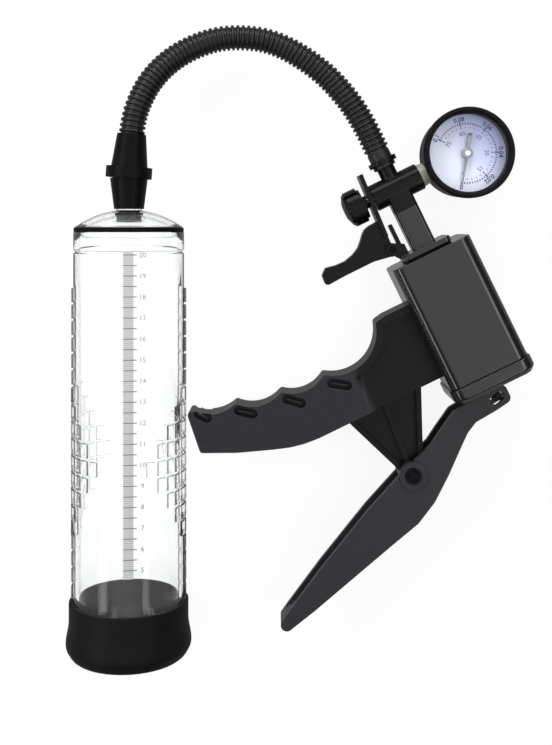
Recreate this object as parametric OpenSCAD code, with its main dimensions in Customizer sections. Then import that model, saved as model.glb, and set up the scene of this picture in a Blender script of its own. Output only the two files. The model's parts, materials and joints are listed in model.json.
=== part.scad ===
// Hand vacuum pump with a clear chamber, a ribbed hose and a pressure gauge, lying on its side.
// The origin is the centre of the chamber's mouth, +Y runs up the chamber and +Z points up.

/* [Chamber] */
// Outer diameter of the clear tube
tube_d = 55; // [46:1:60]
// Wall of the clear tube
tube_wall = 2.5; // [1.5:0.1:3.5]
// Length of the clear tube
tube_len = 208; // [160:1:230]
// Distance of the turned groove from the tube's top end
groove_drop = 9; // [4:0.5:14]
// Width of the turned groove
groove_w = 1.6; // [0.8:0.1:2.4]
// Depth of the turned groove
groove_depth = 0.8; // [0.3:0.1:1.2]
// Thickness of the black gasket under the cap
gasket_t = 2.2; // [1:0.1:3]
// Rise of the cap's dome
dome_rise = 8.5; // [6:0.5:12]
// Wall of the cap
cap_wall = 2.5; // [1.5:0.1:3]
// Depth of the cap's spigot in the tube
cap_spigot = 3; // [2:0.5:6]
// Diameter of the nozzle that the connector fits
nozzle_d = 11; // [9:0.5:12]
// Length of the nozzle above its collar
nozzle_len = 13.5; // [10:0.5:14]
// Air passage through the nozzle
nozzle_bore = 5; // [3:0.5:6]

/* [Grip blocks on the tube] */
// Length of one block along the tube
block_len = 7; // [5:0.5:7.6]
// Spacing of the block rows along the tube
block_pitch = 8.2; // [7.8:0.1:9]
// Height of a block above the tube
block_rise = 1.1; // [0.6:0.1:1.6]
// Angle that one block covers
block_angle = 9.6; // [7:0.2:11]
// Angle from one block column to the next
block_step = 12; // [11.5:0.5:14]
// Columns on each side of the middle one
block_columns = 5; // [3:1:6]
// Gap between the sleeve and the lowest block
block_gap = 0.4; // [0.2:0.1:2]
// Rows below the diamond's middle row in the long centre column
block_below = 8; // [5:1:8]
// Rows above the diamond's middle row in the long centre column
block_above = 10; // [5:1:10]

/* [Sleeve] */
// Height of the black rubber sleeve
sleeve_h = 28; // [20:1:36]
// Wall of the sleeve at its rim
sleeve_wall = 2.1; // [1.5:0.1:4]
// How far the sleeve flares out past its rim
sleeve_flare = 1.5; // [0.5:0.1:3]
// Thickness of the lip that the tube stands on
lip_t = 3; // [2:0.5:5]
// Diameter of the mouth inside the lip
mouth_d = 44; // [34:1:46]

/* [Hose and connector] */
// Outer diameter of the hose over its ribs
hose_d = 13; // [11:0.5:13]
// Diameter between the ribs
hose_root = 10.8; // [9:0.2:11]
// Bore of the hose
hose_bore = 7.6; // [5:0.2:8]
// Spacing of the ribs
rib_pitch = 2.6; // [2:0.1:4]
// Diameter of the connector's collar
collar_d = 23; // [20:0.5:28]
// Width of the connector's collar
collar_w = 5.5; // [3:0.5:8]
// Length of the connector below its collar
connector_lower = 15.5; // [15:0.5:20]
// Length of the connector above its collar
connector_upper = 16.5; // [14:0.5:20]
// Lean of the connector's upper end towards the pump, in degrees
connector_lean = 4; // [0:0.5:5]

/* [Pump body] */
// Place of the pump beside the chamber
pump_x = 182.3; // [160:0.1:200]
// Place of the pump along the chamber
pump_y = 134.4; // [120:0.1:140]
// Lean of the pump's axis from the chamber's, in degrees
pump_lean = 26; // [20:0.5:30]
// Width of the square barrel
barrel_w = 42; // [40:0.5:46]
// Corner radius of the barrel
barrel_r = 6; // [5:0.5:10]
// Length of the barrel
barrel_len = 66; // [62:0.5:76]
// Bore of the barrel
barrel_bore = 34; // [28:0.5:35]
// Thickness of the barrel's top wall
barrel_top = 4.5; // [3:0.5:6]
// Height of the end cap
cap_h = 8; // [6:0.5:12]
// How far the end cap stands out past the barrel
cap_lip = 1; // [0.5:0.1:2]

/* [Pump head] */
// Width of the head plate
plate_w = 25.6; // [22:0.2:30]
// Thickness of the head plate
plate_t = 2.7; // [2:0.1:5]
// Thickness of the gasket under the head plate
head_gasket_t = 0.8; // [0.4:0.1:1.5]
// Width of the square neck
neck_w = 12.4; // [10:0.2:14]
// Height of the cross tube's axis above the head plate
cross_rise = 32.5; // [28:0.5:38]
// Diameter of the cross tube
cross_d = 13.8; // [12:0.2:16]
// Reach of the cross tube towards the valve
cross_left = 12.5; // [12:0.5:16]
// Reach of the cross tube towards the gauge
cross_right = 13.8; // [11:0.2:16]
// Height of the hose cuff's top above the cross tube's axis
cuff_top = 20.5; // [18:0.5:26]

/* [Grip and lever] */
// Thickness of the grip
grip_t = 20; // [18:0.5:24]
// Height of the grip's underside above the end cap's foot
grip_low = 14.5; // [12:0.5:17]
// Height of the first finger ridge above the end cap's foot
grip_high = 42; // [40:0.5:44]
// Height of the grip's shoulder at the barrel
grip_shoulder = 55; // [52:0.5:60]
// Depth of the grip at its tail
grip_tail = 19.6; // [17:0.2:22]
// How far the web beside the barrel lies below the grip's faces
web_in = 3; // [1:0.5:4]
// Distance of the first finger ridge to the side of the pump's axis
finger_first = 74; // [72:0.1:76]
// Spacing of the finger ridges on the grip
finger_pitch = 22.9; // [21:0.1:26]
// Depth of a finger groove
finger_depth = 4.1; // [3:0.1:6]
// Distance of the lever's pivot to the side of the pump's axis
pivot_side = 56; // [52:0.1:58]
// Distance of the lever's pivot below the end cap
pivot_drop = 23.2; // [21:0.1:26]
// Radius of the pivot boss
pivot_boss = 7; // [6:0.5:8]
// Diameter of the pivot pin
pivot_d = 5; // [4:0.5:6]
// Reach of the lever's handle from its pivot
lever_reach = 95; // [85:0.5:100]
// Width of the lever across its two cheeks
lever_w = 17; // [16:0.5:22]
// Thickness of a cheek
cheek_t = 3; // [2:0.5:3.5]
// Distance of the rod's cross pin below the end cap
pin_drop = 6.5; // [6.5:0.1:8]
// Diameter of the rod's cross pin
pin_d = 4; // [3:0.5:4]

/* [Piston] */
// Diameter of the piston rod
rod_d = 6; // [5:0.5:7]
// Clearance between the rod's end and the barrel's top wall, with the lever let go
head_room = 3; // [2:0.5:5]
// Thickness of the piston
piston_t = 6; // [5:0.5:7]
// Mean radius of the return spring
spring_r = 9.5; // [8.8:0.1:9.8]
// Wire diameter of the return spring
spring_wire = 1.6; // [1:0.1:2]
// Turns of the return spring
spring_turns = 10; // [6:1:12]

/* [Release valve and trigger] */
// Height of the trigger's pivot above the head plate
trigger_rise = 5.5; // [5:0.1:7]
// Thickness of the trigger's plate
trigger_plate = 2.2; // [1.6:0.1:2.6]
// Reach of the trigger's finger arm
trigger_reach = 38; // [34:0.5:42]
// Thickness of the trigger's finger arm
trigger_t = 9; // [7:0.5:9]
// Diameter of the valve knob
knob_d = 18.4; // [15:0.2:20]
// Diameter of the knob inside its grooves
knob_core = 15.4; // [13:0.2:16]
// Length of the knob
knob_len = 11; // [9:0.5:14]
// Grooves around the knob
knob_grooves = 4; // [3:1:8]
// Diameter of the valve stem
stem_d = 4; // [3:0.2:4.4]

/* [Gauge] */
// Diameter of the gauge over its bezel
gauge_d = 45.6; // [42:0.2:50]
// Distance of the gauge's centre from the pump's axis
gauge_side = 39.7; // [39.2:0.1:44]
// Depth of the gauge's case
gauge_depth = 21; // [20:0.5:26]
// Wall of the gauge's case
gauge_wall = 1.8; // [1.2:0.1:2.2]
// Width of the bezel's rim seen from the front
bezel_w = 3.4; // [2.4:0.1:4]
// Length of the needle from its hub's centre
needle_len = 16.5; // [12:0.5:17.5]
// Direction of the needle at rest, in degrees from the pump's cross axis
needle_rest = 235; // [220:1:250]

/* [Hidden] */
$fn = 64;

// Clearances, used wherever one piece fits another
fit = 0.05;
gap = 0.3;

// Chamber, along its axis from the mouth
tube_r = tube_d / 2;
tube_in = tube_r - tube_wall;
tube_top = lip_t + tube_len;
cap_base = tube_top + gasket_t;
dome_foot = tube_r - 0.5;
dome_top = cap_base + dome_rise;
nozzle_collar = nozzle_d / 2 + 0.9;
nozzle_foot = dome_top + 0.8;
neck_seat_r = nozzle_collar - 0.05;
neck_seal_t = 3;
connector_ring = nozzle_foot + connector_lower;
block_middle = sleeve_h + block_gap + block_len / 2 + block_below * block_pitch;
sleeve_r = tube_r + fit + sleeve_wall;
floor_z = -(sleeve_r + sleeve_flare);

// Pump, along its axis from the end cap's foot
barrel_half = barrel_w / 2;
barrel_head = cap_h + barrel_len;
bore_r = barrel_bore / 2;
bore_top = barrel_head - barrel_top;
cap_w = barrel_w + 2 * cap_lip;
pump_z = floor_z + cap_w / 2;
spigot_h = 3;
plate_foot = barrel_head + head_gasket_t;
plate_top = plate_foot + plate_t;
cross_y = plate_top + cross_rise;
cross_r = cross_d / 2;
air_r = 2;
inlet_r = 4;
inlet_h = 1.5;
cuff_end = cross_y + cuff_top;
cuff_len = 9;
cuff_r = 5.8;
barb_r = 3.6;
port_r = 4.85;
rod_r = rod_d / 2;
bush_r = rod_r + 2;
spring_seat = cap_h + spigot_h;
rod_end = 3;
piston_y = bore_top - head_room - rod_end - piston_t;
exhaust_at = bore_r - 4;

// Grip: the ridges rise towards the tail, and each has a hollow below it on both faces,
// given by its place from the ridge, its direction and its length
grip_curl = 1.6;
grip_half = grip_t / 2;
web_start = -61;
web_slope = 5;
web_rim = 3.5;
pocket_r = 2.4;
pocket_deep = 3;
pocket_rib = 0.6;
pockets = [[5, -7.7, -35, 12.6], [3.8, -6.9, -42, 12.3], [2.6, -6.1, -39, 12], [5.4, -6.4, -52, 9.5]];

// Lever: the cross pin rides in a slot that points at the pivot
pivot = [-pivot_side, -pivot_drop];
pin = [0, -pin_drop];
pin_r = pin_d / 2;
slot_r = pin_r + 0.45;
cheek_in = lever_w / 2 - cheek_t;
bracket_w = 2 * (cheek_in - gap);
slot_angle = atan2(pivot_drop - pin_drop, pivot_side);
slot_far = norm(pin - pivot) + 0.4;
slot_near = pivot_side - 0.4;
boss_out = 1.2;
pivot_out = lever_w / 2 + boss_out + fit;
clip_t = 0.8;

// Release valve, along the cross tube from the pump's axis towards the trigger
trigger_pin_r = 1.5;
trigger_boss = 3.2;
ear_t = 2;
ear_in = trigger_t / 2 + 0.5;
trigger_low = 3.5;
trigger_tall = 44.3;
trigger_tilt = 3.3;
stem_r = stem_d / 2;
valve_bore_r = 4.6;
seat_x = air_r + 0.6;
seal_t = 0.95;
plug_t = 1.4;
plug_r = 3.6;
valve_bush_t = 2;
plate_face = -cross_left - trigger_plate - gap - tan(trigger_tilt) * cross_r;
trigger_arm = cross_rise - trigger_rise;
trigger_pivot = [plate_face - tan(trigger_tilt) * trigger_arm + 1.5, plate_top + trigger_rise];
hub_x = plate_face - gap;
hub_len = 2;
knob_x = hub_x - hub_len;
knob_tip = knob_x - knob_len;
plug_x = -seat_x - seal_t - plug_t;
stem_start = knob_tip + 5;

// Gauge, measured from the middle of its case
gauge = [gauge_side, cross_y];
bezel_r = gauge_d / 2;
case_r = bezel_r - 1;
case_in = case_r - gauge_wall;
case_back = -12;
case_front = case_back + gauge_depth;
case_floor = case_back + 2;
lens_t = 1.4;
dial_z = case_front - 5.8;
dial_t = 0.8;
bridge_t = 1.6;
base_z = dial_z - 9.2;
base_t = 1.5;
arbor_r = 0.6;
gear_z = base_z + base_t + 2.6;
gear_t = 1.6;
gear_module = 0.4;
pinion_teeth = 8;
sector_teeth = 68;
sector_at = gear_module * (pinion_teeth + sector_teeth) / 2;
sector_pin_r = 0.8;
tail_r = 2.9;
block_x = [-18, -12];
pillars = [[-6, -6], [6, -6], [0, sector_at + 3.2]];
bourdon_r = 15;
bourdon_h = 3.2;
needle_z = dial_z + dial_t + 1.5;
hub_r = 2.75;

// Route of the hose between the connector and the cuff, chosen by hand
hose_mid = [
    [3.6, 272, -1], [8.5, 283.7, -3.5], [15, 292.9, -6.5], [23, 300.2, -9.5], [33, 306, -12],
    [44, 309.7, -14], [56, 310.7, -15], [68, 309.2, -15], [79, 305, -14.5], [90, 298.3, -13.5],
    [99.5, 290.5, -12.5], [107.5, 281.7, -11], [113.5, 273.5, -10],
];
hose_sides = 8;

// Functions for tubes that follow a route

function unit(v) = v / norm(v);

// A point on the smooth curve through b and c, with a and d as their neighbours
function curve_point(a, b, c, d, t) =
    0.5 * (2 * b + (c - a) * t + (2 * a - 5 * b + 4 * c - d) * t * t
        + (3 * b - a - 3 * c + d) * t * t * t);

function curve(pts, steps) = [
    for (i = [0:len(pts) - 2])
        for (k = [0:steps - 1])
            curve_point(pts[max(i - 1, 0)], pts[i], pts[i + 1],
                pts[min(i + 2, len(pts) - 1)], k / steps),
    pts[len(pts) - 1],
];

function lengths(path, i = 0, sum = 0) =
    i == len(path) - 1 ? [sum]
    : concat([sum], lengths(path, i + 1, sum + norm(path[i + 1] - path[i])));

function place(path, run, s, i = 0) =
    i >= len(path) - 2 || run[i + 1] >= s
    ? path[i] + (path[i + 1] - path[i]) * (s - run[i]) / (run[i + 1] - run[i])
    : place(path, run, s, i + 1);

// A ring of points round p, square to direction t
function ring(p, t, r, sides) =
    let (u = unit(cross(t, [0, 0, 1])), v = cross(u, t))
    [for (k = [0:sides - 1]) p + r * (cos(360 * k / sides) * u + sin(360 * k / sides) * v)];

// Triangles between rings a to b of a point list
function skin(a, b, sides, flip) = [
    for (i = [a:b - 1])
        for (k = [0:sides - 1])
            let (p = i * sides + k, q = i * sides + (k + 1) % sides)
            each flip
                ? [[p, p + sides, q], [q, p + sides, q + sides]]
                : [[p, q, p + sides], [q, q + sides, p + sides]],
];

// Triangles between two rings that face the same way, as at a tube's end
function annulus(outer, inner, sides, flip) = [
    for (k = [0:sides - 1])
        let (j = (k + 1) % sides)
        let (a = outer * sides + k, b = outer * sides + j)
        let (c = inner * sides + k, d = inner * sides + j)
        each flip ? [[a, c, b], [b, c, d]] : [[a, b, c], [b, d, c]],
];

// Coil of round wire along +Z, as a tube with closed ends
module coil(r, wire, turns, height) {
    sides = 6;
    last = turns * 8;
    at = function (i) [r * cos(45 * i), r * sin(45 * i), height * i / last];
    points = [
        for (i = [0:last])
            each ring(at(i), unit(at(i + 0.5) - at(i - 0.5)), wire / 2, sides),
    ];
    first_cap = [for (k = [1:sides - 2]) [0, k + 1, k]];
    end_cap_faces = [for (k = [1:sides - 2]) [last * sides, last * sides + k, last * sides + k + 1]];
    polyhedron(points, concat(skin(0, last, sides, false), first_cap, end_cap_faces));
}

// Placing

module up_chamber() {
    rotate([-90, 0, 0]) children();
}

module in_pump() {
    translate([pump_x, pump_y, pump_z]) rotate([0, 0, pump_lean]) children();
}

// Turns +Z to the pump's axis
module up_pump(y) {
    translate([0, y, 0]) rotate([-90, 0, 0]) children();
}

// Turns +Z to the cross tube's axis, towards the gauge
module along_cross(x) {
    translate([x, cross_y, 0]) rotate([0, 90, 0]) children();
}

module in_gauge() {
    translate([gauge[0], gauge[1], 0]) children();
}

module rounded_square(w, r) {
    square([w, w - 2 * r], center = true);
    square([w - 2 * r, w], center = true);
    for (x = [-1, 1])
        for (y = [-1, 1])
            translate([x * (w / 2 - r), y * (w / 2 - r)]) circle(r);
}

// A tube with a hole right through it
module pipe(outer, inner, h) {
    difference() {
        cylinder(r = outer, h = h);
        translate([0, 0, -1]) cylinder(r = inner, h = h + 2);
    }
}

// Chamber

module grip_block(side, column, row) {
    y = block_middle + row * block_pitch;
    turn = (side > 0 ? 0 : 180) + column * block_step - block_angle / 2;
    translate([0, 0, y - block_len / 2])
        rotate([0, 0, turn])
            rotate_extrude(angle = block_angle)
                translate([tube_r - tube_wall / 2, 0])
                    square([tube_wall / 2 + block_rise, block_len]);
}

module chamber_tube() {
    color("gainsboro") up_chamber() {
        difference() {
            translate([0, 0, lip_t]) pipe(tube_r, tube_in, tube_len);
            translate([0, 0, tube_top - groove_drop - groove_w])
                pipe(tube_r + 1, tube_r - groove_depth, groove_w);
        }
        for (side = [-1, 1])
            for (column = [-block_columns:block_columns]) {
                wing = block_columns - abs(column);
                below = column == 0 ? block_below : wing;
                above = column == 0 ? block_above : wing;
                for (row = [-below:above])
                    grip_block(side, column, row);
            }
    }
}

// Half section of the dome: a circle through the cap's foot and the nozzle's collar
module dome_section(inset) {
    c = (pow(dome_rise, 2) + pow(nozzle_collar, 2) - pow(dome_foot, 2)) / (2 * dome_rise);
    intersection() {
        translate([0, cap_base + c]) circle(r = norm([dome_foot, c]) - inset, $fn = 128);
        translate([0, cap_base]) square([dome_foot, 2 * dome_rise]);
    }
}

module chamber_cap() {
    spigot_r = tube_in - fit;
    color("gainsboro") up_chamber() difference() {
        rotate_extrude() {
            difference() {
                dome_section(0);
                dome_section(cap_wall);
            }
            translate([spigot_r - cap_wall, tube_top - cap_spigot])
                square([cap_wall, cap_spigot + gasket_t + cap_wall / 2]);
            translate([spigot_r - cap_wall, cap_base])
                square([dome_foot - spigot_r + cap_wall - 0.6, cap_wall / 3]);
            translate([0, dome_top - cap_wall - neck_seal_t])
                square([neck_seat_r + 2, neck_seal_t + cap_wall - 0.6]);
            translate([0, dome_top - 1]) square([nozzle_collar, nozzle_foot - dome_top + 1]);
            translate([0, dome_top - 1]) square([nozzle_d / 2, nozzle_foot - dome_top + 1 + nozzle_len]);
        }
        translate([0, 0, dome_top - cap_wall - neck_seal_t - 1])
            cylinder(r = neck_seat_r, h = neck_seal_t + 1);
        translate([0, 0, dome_top - cap_wall - 1])
            cylinder(d = nozzle_bore, h = cap_wall + nozzle_len + 10);
    }
}

module cap_gasket() {
    color("#161616") up_chamber()
        translate([0, 0, tube_top]) pipe(tube_r - 0.2, tube_in, gasket_t);
}

module neck_seal() {
    color("#161616") up_chamber()
        translate([0, 0, dome_top - cap_wall - neck_seal_t])
            pipe(neck_seat_r - fit, nozzle_bore / 2, neck_seal_t);
}

module base_sleeve() {
    round_h = sleeve_h / 4;
    foot_r = mouth_d / 2 + 3;
    side_r = sleeve_r + sleeve_flare;
    bore = tube_r + fit;
    foot_curve = [
        for (a = [0:15:90])
            [foot_r + (side_r - foot_r) * sin(a), round_h - round_h * cos(a)],
    ];
    color("#1d1d1f") up_chamber() rotate_extrude() polygon(concat(
        [[mouth_d / 2, 0]], foot_curve,
        [[sleeve_r, 0.6 * sleeve_h], [sleeve_r, sleeve_h], [bore, sleeve_h], [bore, lip_t],
            [mouth_d / 2, lip_t]]));
}

// Hose and connector

module connector_end() {
    up_chamber() translate([0, 0, connector_ring + collar_w / 2])
        rotate([0, connector_lean, 0]) children();
}

module hose_connector() {
    socket_r = nozzle_d / 2 + fit;
    root_r = collar_d / 2 - 2.1;
    upper = collar_w / 2 + connector_upper;
    mouth_r = hose_d / 2 + 0.7;
    color("#17171a") difference() {
        union() {
            up_chamber() translate([0, 0, nozzle_foot])
                cylinder(r1 = socket_r + 1.9, r2 = root_r, h = connector_lower);
            connector_end() translate([0, 0, -collar_w / 2]) cylinder(d = collar_d, h = collar_w);
            connector_end() cylinder(r1 = root_r, r2 = mouth_r, h = upper);
        }
        up_chamber() translate([0, 0, nozzle_foot - 1])
            cylinder(r = socket_r, h = nozzle_len + 1 + fit);
        up_chamber() translate([0, 0, nozzle_foot])
            cylinder(r = nozzle_bore / 2, h = connector_lower + collar_w);
        connector_end() cylinder(r = nozzle_bore / 2, h = upper);
        connector_end() translate([0, 0, upper - hose_d])
            cylinder(r = hose_d / 2 + fit, h = hose_d + 1);
    }
}

module hose() {
    lean_dir = [sin(connector_lean), cos(connector_lean), 0];
    pump_dir = [-sin(pump_lean), cos(pump_lean), 0];
    turn_at = [0, connector_ring + collar_w / 2, 0];
    start = turn_at + (collar_w / 2 + connector_upper - hose_d) * lean_dir;
    finish = [pump_x, pump_y, pump_z] + cuff_end * pump_dir;
    straight_in = start + hose_d * lean_dir;
    straight_out = finish + hose_d * pump_dir;
    bend = curve(concat([straight_in], hose_mid, [straight_out]), 6);
    path = concat([start], bend, [finish]);
    run = lengths(path);
    total = run[len(run) - 1];
    ribs = floor((total - hose_d) / rib_pitch);
    plain = hose_d - rib_pitch;
    dir = function (s) unit(place(path, run, min(s + 1, total)) - place(path, run, max(s - 1, 0)));
    at = concat(
        [0, plain],
        [for (i = [0:ribs - 5], half = [0, 0.5]) hose_d + (i + half) * rib_pitch],
        [total]);
    radius = function (i) i < 2 || i == len(at) - 1 || i % 2 == 0 ? hose_root / 2 : hose_d / 2;
    outer = [
        for (i = [0:len(at) - 1])
            each ring(place(path, run, at[i]), dir(at[i]), radius(i), hose_sides),
    ];
    bores = ceil(total / (hose_d / 2));
    inner = [
        for (i = [0:bores])
            let (s = total * i / bores)
            each ring(place(path, run, s), dir(s), hose_bore / 2, hose_sides),
    ];
    last = len(at) - 1;
    faces = concat(
        skin(0, last, hose_sides, false),
        skin(last + 1, last + 1 + bores, hose_sides, true),
        annulus(0, last + 1, hose_sides, true),
        annulus(last, last + 1 + bores, hose_sides, false));
    color("#1b1b1d") polyhedron(concat(outer, inner), faces);
}

module hose_cuff() {
    color("#17171a") in_pump() up_pump(cuff_end - cuff_len)
        pipe(cuff_r, barb_r + fit, cuff_len);
}

module clamp_ring() {
    ring_w = 2.6;
    color("#202022") in_pump() up_pump(cuff_end - cuff_len + 2)
        pipe(cuff_r + 1.6, cuff_r + fit, ring_w);
}

// Pump body

module pump_barrel() {
    color("#434248") in_pump() difference() {
        up_pump(cap_h) linear_extrude(barrel_len) rounded_square(barrel_w, barrel_r);
        up_pump(cap_h - 1) cylinder(r = bore_r, h = bore_top - cap_h + 1);
        up_pump(bore_top - 1) cylinder(r = air_r + 0.4, h = barrel_top + 2);
    }
}

module end_cap() {
    edge = 2.5;
    color("#38373c") in_pump() difference() {
        union() {
            hull($fn = 32) {
                up_pump(edge) linear_extrude(cap_h - edge)
                    rounded_square(cap_w, barrel_r + cap_lip, $fn = 32);
                up_pump(0) linear_extrude(0.1)
                    rounded_square(cap_w - 2 * edge, barrel_r + cap_lip - edge, $fn = 32);
            }
            up_pump(cap_h - 1) cylinder(r = bore_r - fit, h = spigot_h + 1);
        }
        up_pump(-1) cylinder(r = bush_r + fit, h = spring_seat + 2);
    }
}

module rod_bush() {
    flange_t = 1.5;
    color("#c9c4b4") in_pump() difference() {
        union() {
            up_pump(0.5) cylinder(r = bush_r, h = spring_seat - 0.5);
            up_pump(spring_seat) cylinder(r = bush_r + 2, h = flange_t);
        }
        up_pump(-1) cylinder(r = rod_r + fit, h = spring_seat + flange_t + 2);
    }
}

module head_gasket() {
    color("#161616") in_pump() difference() {
        up_pump(barrel_head) linear_extrude(head_gasket_t) rounded_square(plate_w - 1, 3);
        up_pump(barrel_head - 1) cylinder(r = inlet_r + fit, h = head_gasket_t + 2);
    }
}

// Pump head

// One of the two ears that hold the trigger's pin
module trigger_ear() {
    edge = -plate_w / 2;
    linear_extrude(ear_t) difference() {
        union() {
            translate(trigger_pivot) circle(trigger_boss);
            polygon([
                trigger_pivot + [-trigger_boss, 0], trigger_pivot + [0, trigger_boss],
                [edge + 4, plate_top + trigger_rise], [edge + 4, plate_foot + 1],
                [edge, plate_foot + 1],
            ]);
        }
        translate(trigger_pivot) circle(trigger_pin_r + fit);
    }
}

module manifold() {
    edge = -plate_w / 2;
    cuff_foot = cuff_end - cuff_len;
    stop = [1.9, 17, 6];
    color("#1a1a1c") in_pump() difference() {
        union() {
            up_pump(plate_foot) linear_extrude(plate_t) rounded_square(plate_w, 3);
            up_pump(plate_top - 1) linear_extrude(cross_rise + 1) rounded_square(neck_w, 2);
            along_cross(-cross_left) cylinder(r = cross_r, h = cross_left + cross_right);
            up_pump(cross_y) cylinder(r = barb_r + 0.9, h = cuff_foot - cross_y);
            up_pump(cross_y) cylinder(r = barb_r, h = cuff_end - cross_y - 1);
            translate([edge + 1.1, plate_top - 1, -stop[2] / 2]) cube([stop[0], stop[1] + 1, stop[2]]);
            translate([0, 0, ear_in]) trigger_ear();
            translate([0, 0, -ear_in - ear_t]) trigger_ear();
        }
        up_pump(plate_foot - 1) cylinder(r = air_r, h = cuff_end - plate_foot + 2);
        up_pump(plate_foot - 1) cylinder(r = inlet_r + fit, h = 1 + inlet_h - head_gasket_t + fit);
        along_cross(-cross_left - 1) cylinder(r = valve_bore_r, h = cross_left - seat_x + 1);
        along_cross(-seat_x - 1) cylinder(r = air_r, h = seat_x + 2);
        along_cross(cross_right - 8.8) cylinder(r = port_r, h = 10);
        along_cross(0) cylinder(r = air_r, h = cross_right);
    }
}

// Rubber one-way valve: a disc under the head plate, with a slit bill in the barrel's port
module inlet_valve() {
    slit = 0.4;
    bill = barrel_top - 1;
    color("#2a2a2c") in_pump() difference() {
        union() {
            up_pump(barrel_head) cylinder(r = inlet_r, h = inlet_h);
            up_pump(barrel_head - bill) cylinder(r = air_r + 0.4 - fit, h = bill + 0.5);
        }
        up_pump(barrel_head - bill + 1.5) cylinder(r = 1.2, h = bill + inlet_h);
        translate([-slit / 2, barrel_head - bill - 1, -1.5]) cube([slit, 3, 3]);
    }
}

// Piston

module piston() {
    groove = [piston_y + 2, 2.6];
    color("#d8d6cf") in_pump() difference() {
        up_pump(piston_y) cylinder(r = bore_r - 0.4, h = piston_t);
        up_pump(groove[0]) pipe(bore_r + 1, bore_r - 2.5, groove[1]);
        up_pump(piston_y - 1) cylinder(r = rod_r + fit, h = piston_t + 2);
        translate([exhaust_at, 0, 0]) up_pump(piston_y - 1) cylinder(r = 0.9 + fit, h = piston_t + 2);
    }
}

module piston_seal() {
    color("#1f1f21") in_pump() up_pump(piston_y + 2 + fit)
        pipe(bore_r - fit, bore_r - 2.5 + fit, 2.6 - 2 * fit);
}

module piston_nut() {
    nut_h = 2.5;
    color("#b9b7b0") in_pump() up_pump(piston_y + piston_t) difference() {
        cylinder(r = rod_r + 2.2, h = nut_h, $fn = 6);
        translate([0, 0, -1]) cylinder(r = rod_r + fit, h = nut_h + 2);
    }
}

module exhaust_valve() {
    color("#2a2a2c") in_pump() translate([exhaust_at, 0, 0]) {
        up_pump(piston_y - 0.8) cylinder(r = 2.3, h = 0.8);
        up_pump(piston_y - 0.1) cylinder(r = 0.9, h = piston_t - 0.4);
    }
}

module piston_rod() {
    foot = pin_drop + rod_r;
    color("#c2c3c5") in_pump() difference() {
        up_pump(-foot) cylinder(r = rod_r, h = foot + piston_y + piston_t + rod_end);
        translate([pin[0], pin[1], -rod_r - 1]) cylinder(r = pin_r + fit, h = rod_d + 2);
    }
}

module rod_pin() {
    half = lever_w / 2 - 0.3;
    color("#a9aaad") in_pump() translate([pin[0], pin[1], -half]) cylinder(r = pin_r, h = 2 * half);
}

module return_spring() {
    wire_r = spring_wire / 2;
    seat = spring_seat + wire_r + fit;
    color("#9a9ca0") in_pump() up_pump(seat)
        coil(spring_r, spring_wire, spring_turns, piston_y - wire_r - fit - seat);
}

// Grip

function ridge(k) = [-finger_first - k * finger_pitch, grip_high + grip_curl * k * k];

// Circle that scoops a finger groove between two ridges
module finger_groove(a, b) {
    chord = norm(b - a);
    r = (chord * chord / 4 + finger_depth * finger_depth) / (2 * finger_depth);
    up = unit([a[1] - b[1], b[0] - a[0]]);
    translate((a + b) / 2 + (r - finger_depth) * up) circle(r);
}

module grip_outline() {
    inside = -barrel_half + 8;
    web_foot = [-48.6, grip_shoulder - 14];
    tail = ridge(3) - [1.5, 3];
    offset(r = -3) offset(r = 5) offset(r = -2) difference() {
        polygon([
            [inside, grip_low], [-90, grip_low], [-98, grip_low + 0.7], [-105, grip_low + 2.2],
            [-113, grip_low + 4.9], [-130, grip_low + 11.4], tail - [2.4, grip_tail], tail,
            ridge(3), ridge(2), ridge(1), ridge(0), web_foot, [-46.8, grip_shoulder - 10.8],
            [-43.4, grip_shoulder - 4.2], [-39.2, grip_shoulder - 1], [-34, grip_shoulder],
            [inside, grip_shoulder],
        ]);
        for (k = [0:2])
            finger_groove(ridge(k + 1), ridge(k));
        finger_groove(ridge(0), web_foot);
    }
}

// Flat strip from a to b
module strip(a, b, w) {
    side = w / 2 * unit([a[1] - b[1], b[0] - a[0]]);
    polygon([a + side, b + side, b - side, a - side]);
}

module bracket() {
    rib = 2.6;
    left = [-72.5, grip_low + 1];
    right = [-33.6, grip_low + 1];
    middle = [-52.8, grip_low + 1];
    lean = pivot_boss - rib / 2;
    left_end = pivot + [-2.5, 1.5];
    right_end = pivot + [lean, 2];
    linear_extrude(5, center = true) polygon([left, right, right_end, left_end]);
    linear_extrude(bracket_w, center = true) {
        strip(left, left_end, rib);
        strip(right, right_end, rib);
        strip(middle, pivot, rib);
        translate(pivot) circle(pivot_boss);
    }
}

// Hollow below ridge k on one face, with a thin rib along it
module grip_pocket(k, side) {
    spot = pockets[k];
    half = spot[3] / 2 - pocket_r;
    at = ridge(k) + [spot[0], spot[1]];
    translate([at[0], at[1], side * grip_half]) rotate(spot[2]) difference() {
        linear_extrude(2 * pocket_deep, center = true) {
            translate([-half, 0]) circle(pocket_r);
            translate([half, 0]) circle(pocket_r);
            translate([-half, -pocket_r]) square([2 * half, 2 * pocket_r]);
        }
        translate([-half, -pocket_rib / 2, side > 0 ? -pocket_deep : pocket_rib])
            cube([2 * half, pocket_rib, pocket_deep - pocket_rib]);
    }
}

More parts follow.
